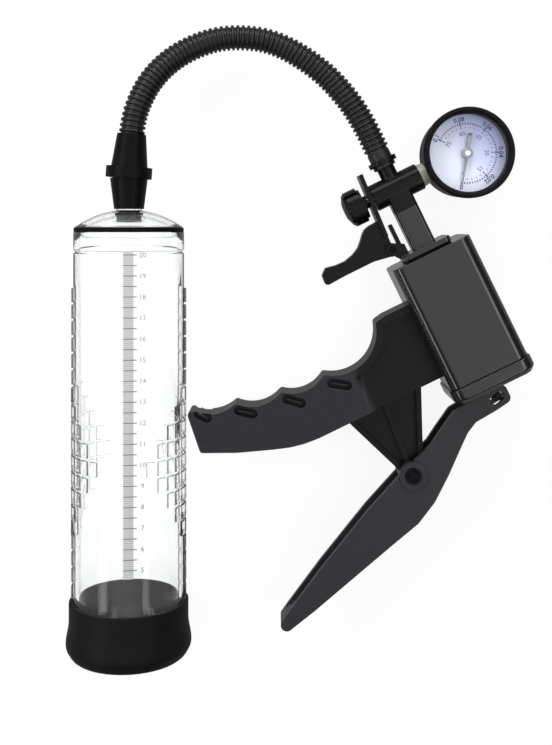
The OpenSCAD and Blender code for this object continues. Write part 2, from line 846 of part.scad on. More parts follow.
// The web beside the barrel is thinner than the handle: a slope leads down to it on each face
module web_recess(side) {
    outer = side * (grip_half + 1);
    face = side * grip_half;
    floor = side * (grip_half - web_in);
    intersection() {
        translate([0, 2 * grip_shoulder, 0]) rotate([90, 0, 0]) linear_extrude(2 * grip_shoulder)
            polygon([
                [web_start, outer], [web_start, face], [web_start + web_slope, floor],
                [0, floor], [0, outer],
            ]);
        linear_extrude(2 * grip_t, center = true)
            for (k = [0:3])
                translate([0, -k * web_rim]) offset(delta = -web_rim) grip_outline();
    }
}

module grip_handle() {
    color("#343337") in_pump() difference() {
        union() {
            linear_extrude(grip_t, center = true) grip_outline();
            bracket();
        }
        for (side = [-1, 1]) {
            web_recess(side);
            for (k = [0:len(pockets) - 1])
                grip_pocket(k, side);
        }
        translate([-barrel_half, 0, -grip_t]) cube([2 * barrel_w, 4 * barrel_w, 2 * grip_t]);
        translate([pivot[0], pivot[1], -bracket_w]) cylinder(r = pivot_d / 2 + fit, h = 2 * bracket_w);
    }
}

// Lever

// Outline from the fork round the pivot to the handle's tip, measured from the pivot
module lever_outline() {
    fork = pin - pivot;
    arm = pivot_side / 56;
    hold = lever_reach / 95;
    translate(pivot) offset(r = -4) offset(r = 7) offset(r = -3) polygon([
        fork + [5.3, 5.3], arm * [32, 19.8], arm * [21.1, 13.8], arm * [14.7, 10], [4.4, 6.8], [-3.8, 3.9],
        hold * [-28, -5.8], hold * [-62, -21.8], hold * [-86, -34.2], hold * [-95, -39.2],
        hold * [-90.5, -43], hold * [-74, -39.4], hold * [-26, -27.2], [-8, -22.8], [4, -16.8],
        arm * [16, -7.8], arm * [28, 2.3], arm * [34, 7.2], arm * [40, 10.2],
        fork + [-4, -5.6], fork + [5.3, -4.3],
    ]);
}

// The slot that the rod's cross pin rides in
module pin_slot() {
    translate(pivot) rotate(slot_angle) {
        translate([slot_near, 0]) circle(slot_r);
        translate([slot_far, 0]) circle(slot_r);
        translate([slot_near, -slot_r]) square([slot_far - slot_near, 2 * slot_r]);
    }
}

module lever() {
    wall = 3;
    open_dir = [-0.37, 0.93];
    fork_start = -15;
    color("#37363b") in_pump() difference() {
        union() {
            linear_extrude(lever_w, center = true) lever_outline();
            translate([pivot[0], pivot[1], -lever_w / 2 - boss_out])
                cylinder(r = pivot_boss, h = lever_w + 2 * boss_out);
        }
        linear_extrude(2 * cheek_in, center = true) {
            for (k = [0:4:16])
                translate(k * open_dir) offset(delta = -wall) lever_outline();
            translate([fork_start, -40]) square([40, 60]);
            translate(pivot) circle(pivot_boss + 1);
        }
        linear_extrude(2 * lever_w, center = true) pin_slot();
        translate([pivot[0], pivot[1], -lever_w]) cylinder(r = pivot_d / 2 + fit, h = 2 * lever_w);
    }
}

module pivot_pin() {
    half = pivot_out + clip_t + 0.6;
    color("#8d8e92") in_pump() translate([pivot[0], pivot[1], -half])
        cylinder(d = pivot_d, h = 2 * half);
}

module pivot_clips() {
    color("#77787c") in_pump()
        for (z = [pivot_out, -pivot_out - clip_t])
            translate([pivot[0], pivot[1], z]) pipe(pivot_d / 2 + 1.6, pivot_d / 2 + fit, clip_t);
}

// Release trigger and valve

// Finger arm, measured from the trigger's pivot
module finger_arm() {
    hold = trigger_reach / 38;
    translate(trigger_pivot) offset(r = 1.2) offset(delta = -1.2) polygon([
        [0.4, 16], [-5.5, 15.6], [-8, 14.9], hold * [-10.1, 13.2], hold * [-12.4, 10.6],
        hold * [-15.1, 8], hold * [-18.9, 6.1], hold * [-23.9, 4.8], hold * [-29.1, 5],
        hold * [-34.4, 6.1], hold * [-37.6, 3.4], hold * [-38, -1.2], hold * [-36.5, -2.2],
        hold * [-26.6, -1.7], [-11, -1.6], [0, -trigger_low],
    ]);
}

// Upright plate between heights a and b above the trigger's pivot
module trigger_wall(a, b) {
    foot = plate_face - tan(trigger_tilt) * trigger_arm;
    lean = tan(trigger_tilt);
    polygon([for (p = [[0, a], [1, a], [1, b], [0, b]])
        [foot + p[0] * trigger_plate + lean * p[1], trigger_pivot[1] + p[1]]]);
}

module release_trigger() {
    narrow_top = 7;
    plate_z = 15;
    color("#1c1c1e") in_pump() difference() {
        union() {
            linear_extrude(trigger_t, center = true) finger_arm();
            linear_extrude(trigger_t, center = true) trigger_wall(-trigger_low, narrow_top + 1);
            linear_extrude(plate_z, center = true) trigger_wall(narrow_top, trigger_tall - trigger_low);
            translate([trigger_pivot[0], trigger_pivot[1], -trigger_t / 2])
                cylinder(r = trigger_boss, h = trigger_t);
        }
        along_cross(plate_face - 10) cylinder(r = stem_r + 0.8, h = 20);
        translate([trigger_pivot[0], trigger_pivot[1], -trigger_t])
            cylinder(r = trigger_pin_r + fit, h = 2 * trigger_t);
    }
}

module trigger_pin() {
    half = ear_in + ear_t + 0.3;
    color("#8d8e92") in_pump() translate([trigger_pivot[0], trigger_pivot[1], -half])
        cylinder(r = trigger_pin_r, h = 2 * half);
}

module valve_bush() {
    color("#c9c4b4") in_pump() along_cross(-cross_left)
        pipe(valve_bore_r - fit, stem_r + fit, valve_bush_t);
}

module valve_stem() {
    color("#c2c3c5") in_pump() {
        along_cross(stem_start + fit) cylinder(r = stem_r, h = plug_x - stem_start + 0.5);
        along_cross(plug_x) cylinder(r = plug_r, h = plug_t);
    }
}

module valve_seal() {
    color("#1f1f21") in_pump() along_cross(plug_x + plug_t) cylinder(r = plug_r, h = seal_t - fit);
}

module valve_spring() {
    wire = 0.6;
    start = -cross_left + valve_bush_t + wire / 2 + fit;
    color("#9a9ca0") in_pump() along_cross(start)
        coil(stem_r + 0.8, wire, 3, plug_x - wire / 2 - fit - start);
}

module valve_knob() {
    r = knob_d / 2;
    core = knob_core / 2;
    groove_w = 2;
    rim = knob_len - 1.4;
    color("#1b1b1d") in_pump() along_cross(knob_tip) difference() {
        rotate_extrude() polygon([
            [0, 0], [0.5 * core, 0.2], [0.85 * core, 1.2], [r - 1.2, 1.8], [r, 3.2], [r, rim], [core, rim],
            [core, knob_len], [stem_r + 1.4, knob_len], [stem_r + 1.4, knob_len + hub_len],
            [0, knob_len + hub_len],
        ]);
        for (i = [0:knob_grooves - 1])
            rotate(360 * (i + 0.5) / knob_grooves)
                translate([core, -groove_w / 2, -1]) cube([knob_d, groove_w, knob_len + 2]);
        translate([0, 0, stem_start - knob_tip])
            cylinder(r = stem_r + fit, h = knob_len + hub_len);
    }
}

// Gauge

module gauge_stem() {
    reach = gauge_side + block_x[0];
    color("#b5b1a6") in_pump() difference() {
        union() {
            along_cross(cross_right - 8) cylinder(r = port_r - fit, h = 8);
            along_cross(cross_right)
                cylinder(r1 = 6, r2 = 5.4, h = gauge_side - case_r - cross_right - gap);
            along_cross(cross_right) cylinder(r = tail_r, h = reach - cross_right + 3);
        }
        along_cross(0) cylinder(r = 1.5, h = gauge_side);
    }
}

module gauge_case() {
    color("#18181a") in_pump() difference() {
        in_gauge() translate([0, 0, case_back]) cylinder(r = case_r, h = gauge_depth);
        in_gauge() translate([0, 0, case_floor]) cylinder(r = case_in, h = gauge_depth);
        along_cross(0) cylinder(r = tail_r + fit, h = gauge_side);
    }
}

module gauge_bezel() {
    rim = bezel_r - bezel_w;
    seat = case_front + lens_t + 2 * fit;
    front = case_front + 4;
    color("#101011") in_pump() in_gauge() rotate_extrude() polygon([
        [case_r + fit, case_front - 2.5], [bezel_r, case_front - 1.5], [bezel_r, front - 1],
        [bezel_r - 0.6, front], [bezel_r - 2.2, front], [rim, seat], [case_r + fit, seat],
    ]);
}

module gauge_lens() {
    color("#e8edf0", 0.4) in_pump() in_gauge() translate([0, 0, case_front + fit])
        cylinder(r = case_r - 0.3, h = lens_t);
}

module gauge_dial() {
    color("#e4e0ee") in_pump() in_gauge() translate([0, 0, dial_z])
        pipe(case_in - 0.2, arbor_r + 0.6, dial_t);
}

module bourdon_tube() {
    wall = 1.6;
    color("#b08d4c") in_pump() in_gauge() difference() {
        union() {
            translate([block_x[0], -4.5, case_floor + 0.2])
                cube([block_x[1] - block_x[0], 9, dial_z - 1 - case_floor]);
            translate([0, 0, case_floor + 0.3]) rotate([0, 0, 190]) rotate_extrude(angle = 240)
                translate([bourdon_r - wall / 2, 0]) square([wall, bourdon_h]);
        }
        translate([block_x[0] - 1, 0, 0]) rotate([0, 90, 0]) cylinder(r = tail_r + fit, h = 4 + fit);
    }
}

module movement_plate() {
    circle(8);
    translate([-4, 0]) square([8, sector_at]);
    translate([0, sector_at]) circle(4.2);
    for (p = pillars)
        translate(p) circle(1.4);
}

module movement_base() {
    color("#c8a85f") in_pump() in_gauge() {
        translate([0, 0, base_z]) linear_extrude(base_t) difference() {
            union() {
                movement_plate();
                translate([block_x[1], -3]) square([-block_x[1], 6]);
            }
            circle(arbor_r + fit);
            translate([0, sector_at]) circle(sector_pin_r + fit);
        }
        for (p = pillars)
            translate([p[0], p[1], base_z + base_t])
                cylinder(r = 0.9, h = dial_z - bridge_t - base_z - base_t);
    }
}

module movement_bridge() {
    color("#c8a85f") in_pump() in_gauge() translate([0, 0, dial_z - bridge_t])
        linear_extrude(bridge_t) difference() {
            movement_plate();
            circle(arbor_r + fit);
            translate([0, sector_at]) circle(sector_pin_r + fit);
        }
}

// One gear tooth, pointing along +X, on a pitch circle of radius r
module tooth(r) {
    tip = r + 0.85 * gear_module;
    foot = r - 1.4 * gear_module;
    polygon([
        [foot, -0.65 * gear_module], [r, -0.48 * gear_module], [tip, -0.22 * gear_module],
        [tip, 0.22 * gear_module], [r, 0.48 * gear_module], [foot, 0.65 * gear_module],
    ]);
}

module sector_gear() {
    r = gear_module * sector_teeth / 2;
    root = r - 1.3 * gear_module;
    first = -2;
    last = 8;
    step = 360 / sector_teeth;
    arm = root * [cos(3 * step - 90), sin(3 * step - 90)];
    color("#c8a85f") in_pump() in_gauge() translate([0, sector_at, gear_z]) difference() {
        union() {
            cylinder(r = 1.7, h = gear_t);
            linear_extrude(gear_t) strip([0, 0], arm, 2);
            rotate([0, 0, (first - 0.6) * step - 90])
                rotate_extrude(angle = (last - first + 1.2) * step)
                    translate([root - 2.2, 0]) square([2.2, gear_t]);
            for (i = [first:last])
                rotate([0, 0, i * step - 90]) linear_extrude(gear_t) tooth(r);
        }
        translate([0, 0, -1]) cylinder(r = sector_pin_r + fit, h = gear_t + 2);
    }
}

module sector_pin() {
    color("#8d8e92") in_pump() in_gauge() translate([0, sector_at, base_z])
        cylinder(r = sector_pin_r, h = dial_z - base_z - 0.2);
}

// Arbor with the pinion that the sector drives
module needle_arbor() {
    r = gear_module * pinion_teeth / 2;
    color("#c2c3c5") in_pump() in_gauge() {
        translate([0, 0, base_z + 0.2]) cylinder(r = arbor_r, h = needle_z + 0.8 - base_z);
        translate([0, 0, gear_z - 0.4]) linear_extrude(gear_t + 0.8) {
            circle(r - 1.3 * gear_module);
            for (i = [0:pinion_teeth - 1])
                rotate(90 + (i + 0.5) * 360 / pinion_teeth) tooth(r);
        }
    }
}

module gauge_needle() {
    blade_t = 0.5;
    tail = 10.4;
    color("#55565c") in_pump() in_gauge() difference() {
        union() {
            translate([0, 0, dial_z + dial_t + 0.6])
                cylinder(r = hub_r, h = needle_z + 1.1 - dial_z - dial_t);
            translate([0, 0, needle_z]) rotate([0, 0, needle_rest]) linear_extrude(blade_t)
                polygon([
                    [-tail, -1], [0, -0.9], [needle_len, -0.2],
                    [needle_len, 0.2], [0, 0.9], [-tail, 1],
                ]);
        }
        translate([0, 0, dial_z]) cylinder(r = arbor_r + fit, h = needle_z + 1 - dial_z + fit);
    }
}

chamber_tube();
chamber_cap();
cap_gasket();
neck_seal();
base_sleeve();
hose_connector();
hose();
hose_cuff();
clamp_ring();
pump_barrel();
end_cap();
rod_bush();
head_gasket();
manifold();
inlet_valve();
exhaust_valve();
piston();
piston_seal();
piston_nut();
piston_rod();
rod_pin();
return_spring();
grip_handle();
lever();
pivot_pin();
pivot_clips();
release_trigger();
trigger_pin();
valve_bush();
valve_stem();
valve_seal();
valve_spring();
valve_knob();
gauge_stem();
gauge_case();
gauge_bezel();
gauge_lens();
gauge_dial();
bourdon_tube();
movement_base();
movement_bridge();
sector_gear();
sector_pin();
needle_arbor();
gauge_needle();
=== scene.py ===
# %% [markdown]
# # A hand vacuum pump laid out on a pale table
#
# The object is a trigger-grip vacuum pump: a square barrel with a squeeze lever, a dial gauge and a
# release valve on its head, and a ribbed hose that leads to a clear round chamber in a rubber sleeve.
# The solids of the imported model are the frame. This script dresses them: it softens the moulded
# edges, makes the clear and soft pieces afresh, and gives every piece a material with real detail.

# %% Load the frame
import json
import math

import bmesh
import bpy
from mathutils import Matrix, Vector


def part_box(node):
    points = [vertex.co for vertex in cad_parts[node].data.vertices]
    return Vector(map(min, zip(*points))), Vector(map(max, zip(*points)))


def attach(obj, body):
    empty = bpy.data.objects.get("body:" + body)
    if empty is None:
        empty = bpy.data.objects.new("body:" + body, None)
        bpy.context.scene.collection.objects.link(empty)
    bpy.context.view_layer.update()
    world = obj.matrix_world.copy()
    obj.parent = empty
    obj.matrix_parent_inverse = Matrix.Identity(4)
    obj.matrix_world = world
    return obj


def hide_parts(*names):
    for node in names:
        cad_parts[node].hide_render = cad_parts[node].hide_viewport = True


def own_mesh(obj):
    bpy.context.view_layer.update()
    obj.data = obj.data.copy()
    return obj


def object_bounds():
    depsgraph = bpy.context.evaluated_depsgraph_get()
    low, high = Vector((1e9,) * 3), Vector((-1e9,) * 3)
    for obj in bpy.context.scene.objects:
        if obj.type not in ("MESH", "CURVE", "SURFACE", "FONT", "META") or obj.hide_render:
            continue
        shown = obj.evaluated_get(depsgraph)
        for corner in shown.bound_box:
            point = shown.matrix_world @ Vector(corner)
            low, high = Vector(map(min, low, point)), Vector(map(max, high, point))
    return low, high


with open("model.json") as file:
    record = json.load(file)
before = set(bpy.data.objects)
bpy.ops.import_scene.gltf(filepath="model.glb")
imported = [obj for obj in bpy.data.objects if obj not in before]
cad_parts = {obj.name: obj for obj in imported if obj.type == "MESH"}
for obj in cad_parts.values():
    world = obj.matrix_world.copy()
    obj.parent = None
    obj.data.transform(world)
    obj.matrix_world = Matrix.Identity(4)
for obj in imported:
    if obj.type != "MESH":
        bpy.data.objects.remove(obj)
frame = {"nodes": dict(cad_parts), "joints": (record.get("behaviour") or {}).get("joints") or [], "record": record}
cad_low, cad_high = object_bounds()
MM = 0.001
joints = {joint["name"]: joint for joint in frame["joints"]}
cad_size = [round(s / MM) for s in cad_high - cad_low]
print("pieces in the frame:", len(frame["nodes"]), "size in mm:", cad_size)

# %% [markdown]
# ## Where things are
#
# The chamber lies along +Y with its mouth at the origin, so its places are plain numbers along that
# axis. The pump leans beside it. Its own axes come from two joints of the frame: the piston slides
# down the pump's axis, and the needle turns about the middle of the gauge.

# %% The pump's own axes
pump_up = -Vector(joints["piston_slide"]["axis"]).normalized()
pump_side = Vector((pump_up.y, -pump_up.x, 0.0))
pump_turn = math.atan2(pump_side.y, pump_side.x)
gauge_middle = Vector(joints["needle_sweep"]["pos_m"])
floor_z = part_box("base_sleeve")[0].z
print("pump leans by", round(math.degrees(pump_turn), 1), "degrees")

# %% [markdown]
# ## The camera
#
# The photograph looks straight down on the laid-out object. The scale on the chamber gives two pixels
# to the millimetre on the chamber's axis, and the way the chamber's rings open out below its cap shows
# that the lens stood over a point near the cap. The lens stays level, so a shift frames the rest.

# %% Camera
PHOTO_WIDTH_PX = 552
PHOTO_HEIGHT_PX = 745
LENS_FOOT_PX = (276, 228)
PX_PER_MM = 2.0
LENS_HEIGHT = 542 * MM
SENSOR_MM = 36.0
lens_foot = Vector((73.5 * MM, 213 * MM, 0.0))

camera_data = bpy.data.cameras.new("photo_camera")
camera_data.sensor_fit = "AUTO"
camera_data.sensor_width = SENSOR_MM
camera_data.lens = SENSOR_MM * PX_PER_MM * LENS_HEIGHT / MM / PHOTO_HEIGHT_PX
camera_data.shift_x = (PHOTO_WIDTH_PX / 2 - LENS_FOOT_PX[0]) / PHOTO_HEIGHT_PX
camera_data.shift_y = (LENS_FOOT_PX[1] - PHOTO_HEIGHT_PX / 2) / PHOTO_HEIGHT_PX
camera_data.clip_start = 0.01
camera_data.clip_end = 20.0
camera = bpy.data.objects.new("photo_camera", camera_data)
bpy.context.collection.objects.link(camera)
camera.location = lens_foot + Vector((0, 0, LENS_HEIGHT))
bpy.context.scene.camera = camera
bpy.context.scene.view_settings.view_transform = "Standard"
print("lens in mm:", round(camera_data.lens, 1))

# %% [markdown]
# ## Helpers
#
# A finished piece is one mesh object at the origin. Colours are written as sRGB hex values, the way a
# paint card gives them, and turned to the linear values that the renderer adds up. One small function
# adds a shader node with its settings and links.

# %% Colour and shader nodes
def linear(hex_colour):
    channels = [int(hex_colour[i:i + 2], 16) / 255 for i in (1, 3, 5)]
    return [c / 12.92 if c <= 0.04045 else ((c + 0.055) / 1.055) ** 2.4 for c in channels] + [1.0]


def add(material, kind, inputs=None, **settings):
    made = material.node_tree.nodes.new(kind)
    for key, value in settings.items():
        setattr(made, key, value)
    for key, value in (inputs or {}).items():
        if isinstance(value, bpy.types.NodeSocket):
            material.node_tree.links.new(value, made.inputs[key])
        else:
            made.inputs[key].default_value = value
    return made


def new_material(name, **surface):
    material = bpy.data.materials.new(name)
    material.use_nodes = True
    shader = material.node_tree.nodes["Principled BSDF"]
    for key, value in surface.items():
        shader.inputs[key.replace("_", " ")].default_value = value
    return material, shader


# %% Meshes and pieces
SHARP_DEGREES = 32
MERGE = 1e-6
WALL_LEAN = 0.3
WALL_HEIGHT = 12 * MM


def link_piece(name, mesh, material, body, replaced=()):
    piece = bpy.data.objects.new(name, mesh)
    bpy.context.collection.objects.link(piece)
    mesh.materials.clear()
    mesh.materials.append(material)
    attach(piece, body)
    if replaced:
        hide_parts(*replaced)
    return piece


def soften(mesh, sharp_degrees):
    """Smooth shading that keeps edges sharper than the given angle."""
    mesh.polygons.foreach_set("use_smooth", [True] * len(mesh.polygons))
    mesh.set_sharp_from_angle(angle=math.radians(sharp_degrees))


def bevelled(bm, width_mm, sharp_degrees=SHARP_DEGREES, segments=3, keep=None):
    """Rounds every edge that is sharper than the given angle."""
    limit = math.radians(sharp_degrees)
    edges = [e for e in bm.edges if len(e.link_faces) == 2 and e.calc_face_angle() > limit]
    if keep:
        edges = [e for e in edges if keep(e)]
    bmesh.ops.bevel(bm, geom=edges, offset=width_mm * MM, offset_type="OFFSET", affect="EDGES",
                    segments=segments, profile=0.5, material=-1, clamp_overlap=True)


def node_copy(node):
    """A merged copy of a solid's mesh, with its flat faces joined."""
    bm = bmesh.new()
    bm.from_mesh(frame["nodes"][node].data)
    bmesh.ops.remove_doubles(bm, verts=bm.verts, dist=MERGE)
    bmesh.ops.dissolve_limit(bm, angle_limit=math.radians(0.5), verts=bm.verts, edges=bm.edges)
    return bm


def to_mesh(bm, name, sharp_degrees=SHARP_DEGREES):
    mesh = bpy.data.meshes.new(name)
    bm.to_mesh(mesh)
    bm.free()
    soften(mesh, sharp_degrees)
    return mesh


def body_of(node):
    bodies = frame["record"]["behaviour"]["bodies"]
    return next(name for name, members in bodies.items() if node in members)


def borders_wall(edge):
    """Whether an edge lies between a flat side of a handle and the tall wall around it."""
    for face in edge.link_faces:
        heights = [vert.co.z for vert in face.verts]
        if abs(face.normal.z) < WALL_LEAN and max(heights) - min(heights) > WALL_HEIGHT:
            return True
    return False


def dress(node, material, edge_mm, roll_mm=0):
    """A solid's own shape with rounded edges and a finish, in the solid's place."""
    bm = node_copy(node)
    if roll_mm:
        bevelled(bm, roll_mm, sharp_degrees=60, segments=4, keep=borders_wall)
    bevelled(bm, edge_mm)
    mesh = to_mesh(bm, node + "_dressed")
    piece = link_piece(node + "_dressed", mesh, material, body_of(node), [node])
    weights = piece.modifiers.new("flat faces first", "WEIGHTED_NORMAL")
    weights.keep_sharp = True
    return piece


# %% [markdown]
# ## The hose
#
# The hose is a corrugated plastic tube: its rings let it bend without a kink. It leaves the chamber's
# connector straight up, swings over in a stiff arch that sags towards the table, and ends on the pump's
# cuff. A curve with a round bevel would lose the rings, so a profile of rounded rings is spun into a
# straight tube first, and each of its rings is then laid on the route.

# %% Route of the hose
HOSE_D = 13.0 * MM
HOSE_ROOT_D = 10.8 * MM
RING_ROUND = 0.25 * MM
RIB_PITCH = 2.6 * MM
STRAIGHT_END = 13.0 * MM
CUFF_END = 130.5 * MM
hose_start = Vector((0.44, 246.99, 0.0)) * MM
hose_mouth = Vector((1.34, 259.95, 0.0)) * MM
hose_between = [
    (3.6, 272, -1), (8.5, 283.7, -3.5), (15, 292.9, -6.5), (23, 300.2, -9.5), (33, 306, -12),
    (44, 309.7, -14), (56, 310.7, -15), (68, 309.2, -15), (79, 305, -14.5), (90, 298.3, -13.5),
    (99.5, 290.5, -12.5), (107.5, 281.7, -11), (113.5, 273.5, -10),
]
pump_foot = Vector((182.3, 134.4, -9.15)) * MM
hose_end = pump_foot + CUFF_END * pump_up
stops = [hose_start, hose_mouth] + [Vector(p) * MM for p in hose_between]
stops += [hose_end + STRAIGHT_END * pump_up, hose_end]


def smooth_route(points, steps):
    """A smooth curve through the points, in the manner of a bent spline."""
    ends = [points[0]] + points + [points[-1]]
    route = []
    for a, b, c, d in zip(ends, ends[1:], ends[2:], ends[3:]):
        for k in range(steps):
            t = k / steps
            bend = (2 * a - 5 * b + 4 * c - d) * t * t + (3 * b - a - 3 * c + d) * t ** 3
            route.append(0.5 * (2 * b + (c - a) * t + bend))
    return route + [points[-1]]


route = smooth_route(stops, 12)
run = [0.0]
for a, b in zip(route, route[1:]):
    run.append(run[-1] + (b - a).length)
hose_length = run[-1]
print("hose length in mm:", round(hose_length / MM, 1))


# %% Ringed hose
def place_on_route(s):
    """Point and direction of the route at a distance from its start."""
    s = min(max(s, 0.0), hose_length)
    i = max(k for k in range(len(run) - 1) if run[k] <= s)
    t = (s - run[i]) / (run[i + 1] - run[i])
    ahead = route[min(i + 2, len(route) - 1)] - route[i]
    behind = route[i + 1] - route[max(i - 1, 0)]
    return route[i].lerp(route[i + 1], t), behind.lerp(ahead, t).normalized()


def ringed_hose(sides=32):
    """The hose's rings, spun as a straight tube and then laid on the route."""
    root = HOSE_ROOT_D / 2
    crest = HOSE_D / 2
    shoulder = crest - RING_ROUND
    steps = [(0.0, root), (0.16, root), (0.27, shoulder), (0.38, crest), (0.62, crest),
             (0.73, shoulder), (0.84, root)]
    profile = [(0.0, 0.0)]
    for ring in range(int(hose_length / RIB_PITCH)):
        profile += [((ring + at) * RIB_PITCH, r) for at, r in steps]
    profile += [(hose_length, root), (hose_length, 0.0)]
    bm = bmesh.new()
    corners = [bm.verts.new((r, 0.0, s)) for s, r in profile]
    edges = [bm.edges.new(pair) for pair in zip(corners, corners[1:])]
    bmesh.ops.spin(bm, geom=corners + edges, cent=(0, 0, 0), axis=(0, 0, 1), angle=math.tau,
                   steps=sides, use_merge=True)
    bmesh.ops.remove_doubles(bm, verts=bm.verts, dist=MERGE)
    bmesh.ops.recalc_face_normals(bm, faces=bm.faces)
    for vert in bm.verts:
        point, ahead = place_on_route(vert.co.z)
        side = ahead.cross(Vector((0, 0, 1))).normalized()
        vert.co = point + side * vert.co.x + side.cross(ahead) * vert.co.y
    bmesh.ops.recalc_face_normals(bm, faces=bm.faces)
    return to_mesh(bm, "ringed_hose", 50)


hose_mesh = ringed_hose()
print("hose faces:", len(hose_mesh.polygons))


# %% [markdown]
# ## Finishes
#
# Nearly everything here is moulded plastic or rubber, and all of it is dark. What tells the pieces
# apart is how the tool was finished: a polished tool leaves a glossy skin that mirrors the lamps, a
# spark-eroded tool leaves a fine satin grain, and rubber is matt. So each finish gets its own grain,
# with its size in millimetres, and the grain drives both the roughness and a shallow bump.

# %% Grain of a moulded skin
# Nearly all values of a noise lie in this span, and a patch of shade is as wide as this many grains
NOISE_LOW = 0.3
NOISE_HIGH = 0.7
GRAINS_IN_PATCH = 9


def grain(material, shader, size_mm, bump_mm, rough, shades=None):
    """Grain of one size: it lifts the surface, and varies its roughness and its shade."""
    place = add(material, "ShaderNodeTexCoord").outputs["Object"]
    noise = add(material, "ShaderNodeTexNoise",
                {"Vector": place, "Scale": 1 / (size_mm * MM), "Detail": 3.0}).outputs[0]
    dull = add(material, "ShaderNodeMapRange",
               {"Value": noise, "From Min": NOISE_LOW, "From Max": NOISE_HIGH,
                "To Min": rough[0], "To Max": rough[1]})
    lift = add(material, "ShaderNodeBump", {"Height": noise, "Distance": bump_mm * MM, "Strength": 1.0})
    links = material.node_tree.links
    links.new(dull.outputs["Result"], shader.inputs["Roughness"])
    links.new(lift.outputs["Normal"], shader.inputs["Normal"])
    if shades:
        patch_size = GRAINS_IN_PATCH * size_mm * MM
        patches = add(material, "ShaderNodeTexNoise",
                      {"Vector": place, "Scale": 1 / patch_size, "Detail": 4.0}).outputs[0]
        mix = add(material, "ShaderNodeMix", {0: patches, 6: linear(shades[0]), 7: linear(shades[1])},
                  data_type="RGBA")
        links.new(mix.outputs[2], shader.inputs["Base Color"])


# %% Moulded plastics
# Black ABS from a polished tool: a deep gloss with a faint waviness from the flow of the melt
gloss_abs, gloss_shader = new_material("gloss_abs", IOR=1.53, Coat_Weight=0.25, Coat_Roughness=0.08)
grain(gloss_abs, gloss_shader, 6.0, 0.012, (0.15, 0.24), ("#1b1a1e", "#232226"))

# Black ABS from a spark-eroded tool: the 0.3 mm grain is drawn at 0.6 mm so that it shows
satin_abs, satin_shader = new_material("satin_abs", IOR=1.53, Specular_IOR_Level=0.26)
grain(satin_abs, satin_shader, 0.6, 0.014, (0.3, 0.42), ("#2a292e", "#323136"))

# The same plastic on the grip, with painted shade in the sunken web, in the pockets and by the barrel
grip_abs, grip_shader = new_material("grip_abs", IOR=1.53, Specular_IOR_Level=0.18)
grain(grip_abs, grip_shader, 0.6, 0.012, (0.3, 0.4), ("#2a292e", "#323136"))
GRIP_FACE_Z = 0.85 * MM
SUNK_FROM = 1.0 * MM
SUNK_FULLY = 2.6 * MM
WEB_START = -61 * MM
WEB_SLOPE = 4 * MM
WEB_SHADE = 0.12
grip_place = add(grip_abs, "ShaderNodeTexCoord").outputs["Object"]
grip_height = add(grip_abs, "ShaderNodeSeparateXYZ", {"Vector": grip_place}).outputs["Z"]
# Painted shade: faces sunk below the grip's face turn dark, like a recess in shadow
recess_shade = add(grip_abs, "ShaderNodeMapRange",
             {"Value": grip_height, "From Min": GRIP_FACE_Z - SUNK_FULLY,
              "From Max": GRIP_FACE_Z - SUNK_FROM, "To Min": 0.0, "To Max": 1.0},
             interpolation_type="SMOOTHSTEP")
grip_across = add(grip_abs, "ShaderNodeVectorMath", {0: grip_place, 1: pump_side},
                  operation="DOT_PRODUCT")
web_edge = pump_foot.dot(pump_side) + WEB_START
# Painted shade: the web beside the barrel turns dark, as if in the barrel's shadow
beyond_web = add(grip_abs, "ShaderNodeMapRange",
                 {"Value": grip_across.outputs["Value"], "From Min": web_edge,
                  "From Max": web_edge + WEB_SLOPE, "To Min": 1.0, "To Max": WEB_SHADE},
                 interpolation_type="SMOOTHSTEP")
# skin is the painted shade mask: the lower of the two masks, where 0 is fully shaded
skin = add(grip_abs, "ShaderNodeMath",
           {0: recess_shade.outputs["Result"], 1: beyond_web.outputs["Result"]}, operation="MINIMUM")
moulded_shade = grip_shader.inputs["Base Color"].links[0].from_socket
# Near-black painted shade over the moulded tones where the mask is low
painted_shade_colour = add(grip_abs, "ShaderNodeMix",
               {0: skin.outputs[0], 6: linear("#0b0b0c"), 7: moulded_shade}, data_type="RGBA")
grip_abs.node_tree.links.new(painted_shade_colour.outputs[2], grip_shader.inputs["Base Color"])

# Glass-filled nylon of the pump's head: near black, a little uneven, with a soft shine
head_nylon, nylon_shader = new_material("head_nylon", IOR=1.53, Specular_IOR_Level=0.18)
grain(head_nylon, nylon_shader, 1.2, 0.015, (0.24, 0.38), ("#0a0a0b", "#111113"))

# Phenolic of the gauge's case: flat black
case_black, case_shader = new_material("case_phenolic", IOR=1.5, Specular_IOR_Level=0.15)
grain(case_black, case_shader, 0.9, 0.012, (0.4, 0.55), ("#060607", "#0b0b0c"))

# Acetal of the piston and the bushes: a waxy off-white
acetal, acetal_shader = new_material("acetal", IOR=1.48, Subsurface_Weight=0.08)
acetal_shader.inputs["Subsurface Radius"].default_value = (0.001, 0.001, 0.0008)
grain(acetal, acetal_shader, 0.8, 0.01, (0.3, 0.42), ("#cfcabb", "#ddd9cc"))

# %% Rubbers
# Soft rubber of the sleeve: matt, slightly bloomed, with a fine moulded grain drawn at 0.7 mm
sleeve_rubber, sleeve_shader = new_material("sleeve_rubber", IOR=1.5, Specular_IOR_Level=0.12)
grain(sleeve_rubber, sleeve_shader, 0.7, 0.02, (0.5, 0.66), ("#121212", "#181818"))

# Soft vinyl of the hose and its cuff: satin, with lighter rubbed patches
hose_vinyl, vinyl_shader = new_material("hose_vinyl", IOR=1.53, Specular_IOR_Level=0.45)
grain(hose_vinyl, vinyl_shader, 0.9, 0.015, (0.34, 0.5), ("#0f0f12", "#161619"))

# Moulded rubber of the hose's connector: smooth and nearly black
connector_rubber, connector_shader = new_material("connector_rubber", IOR=1.5, Specular_IOR_Level=0.1)
grain(connector_rubber, connector_shader, 0.8, 0.012, (0.36, 0.5), ("#09090b", "#0f0f12"))

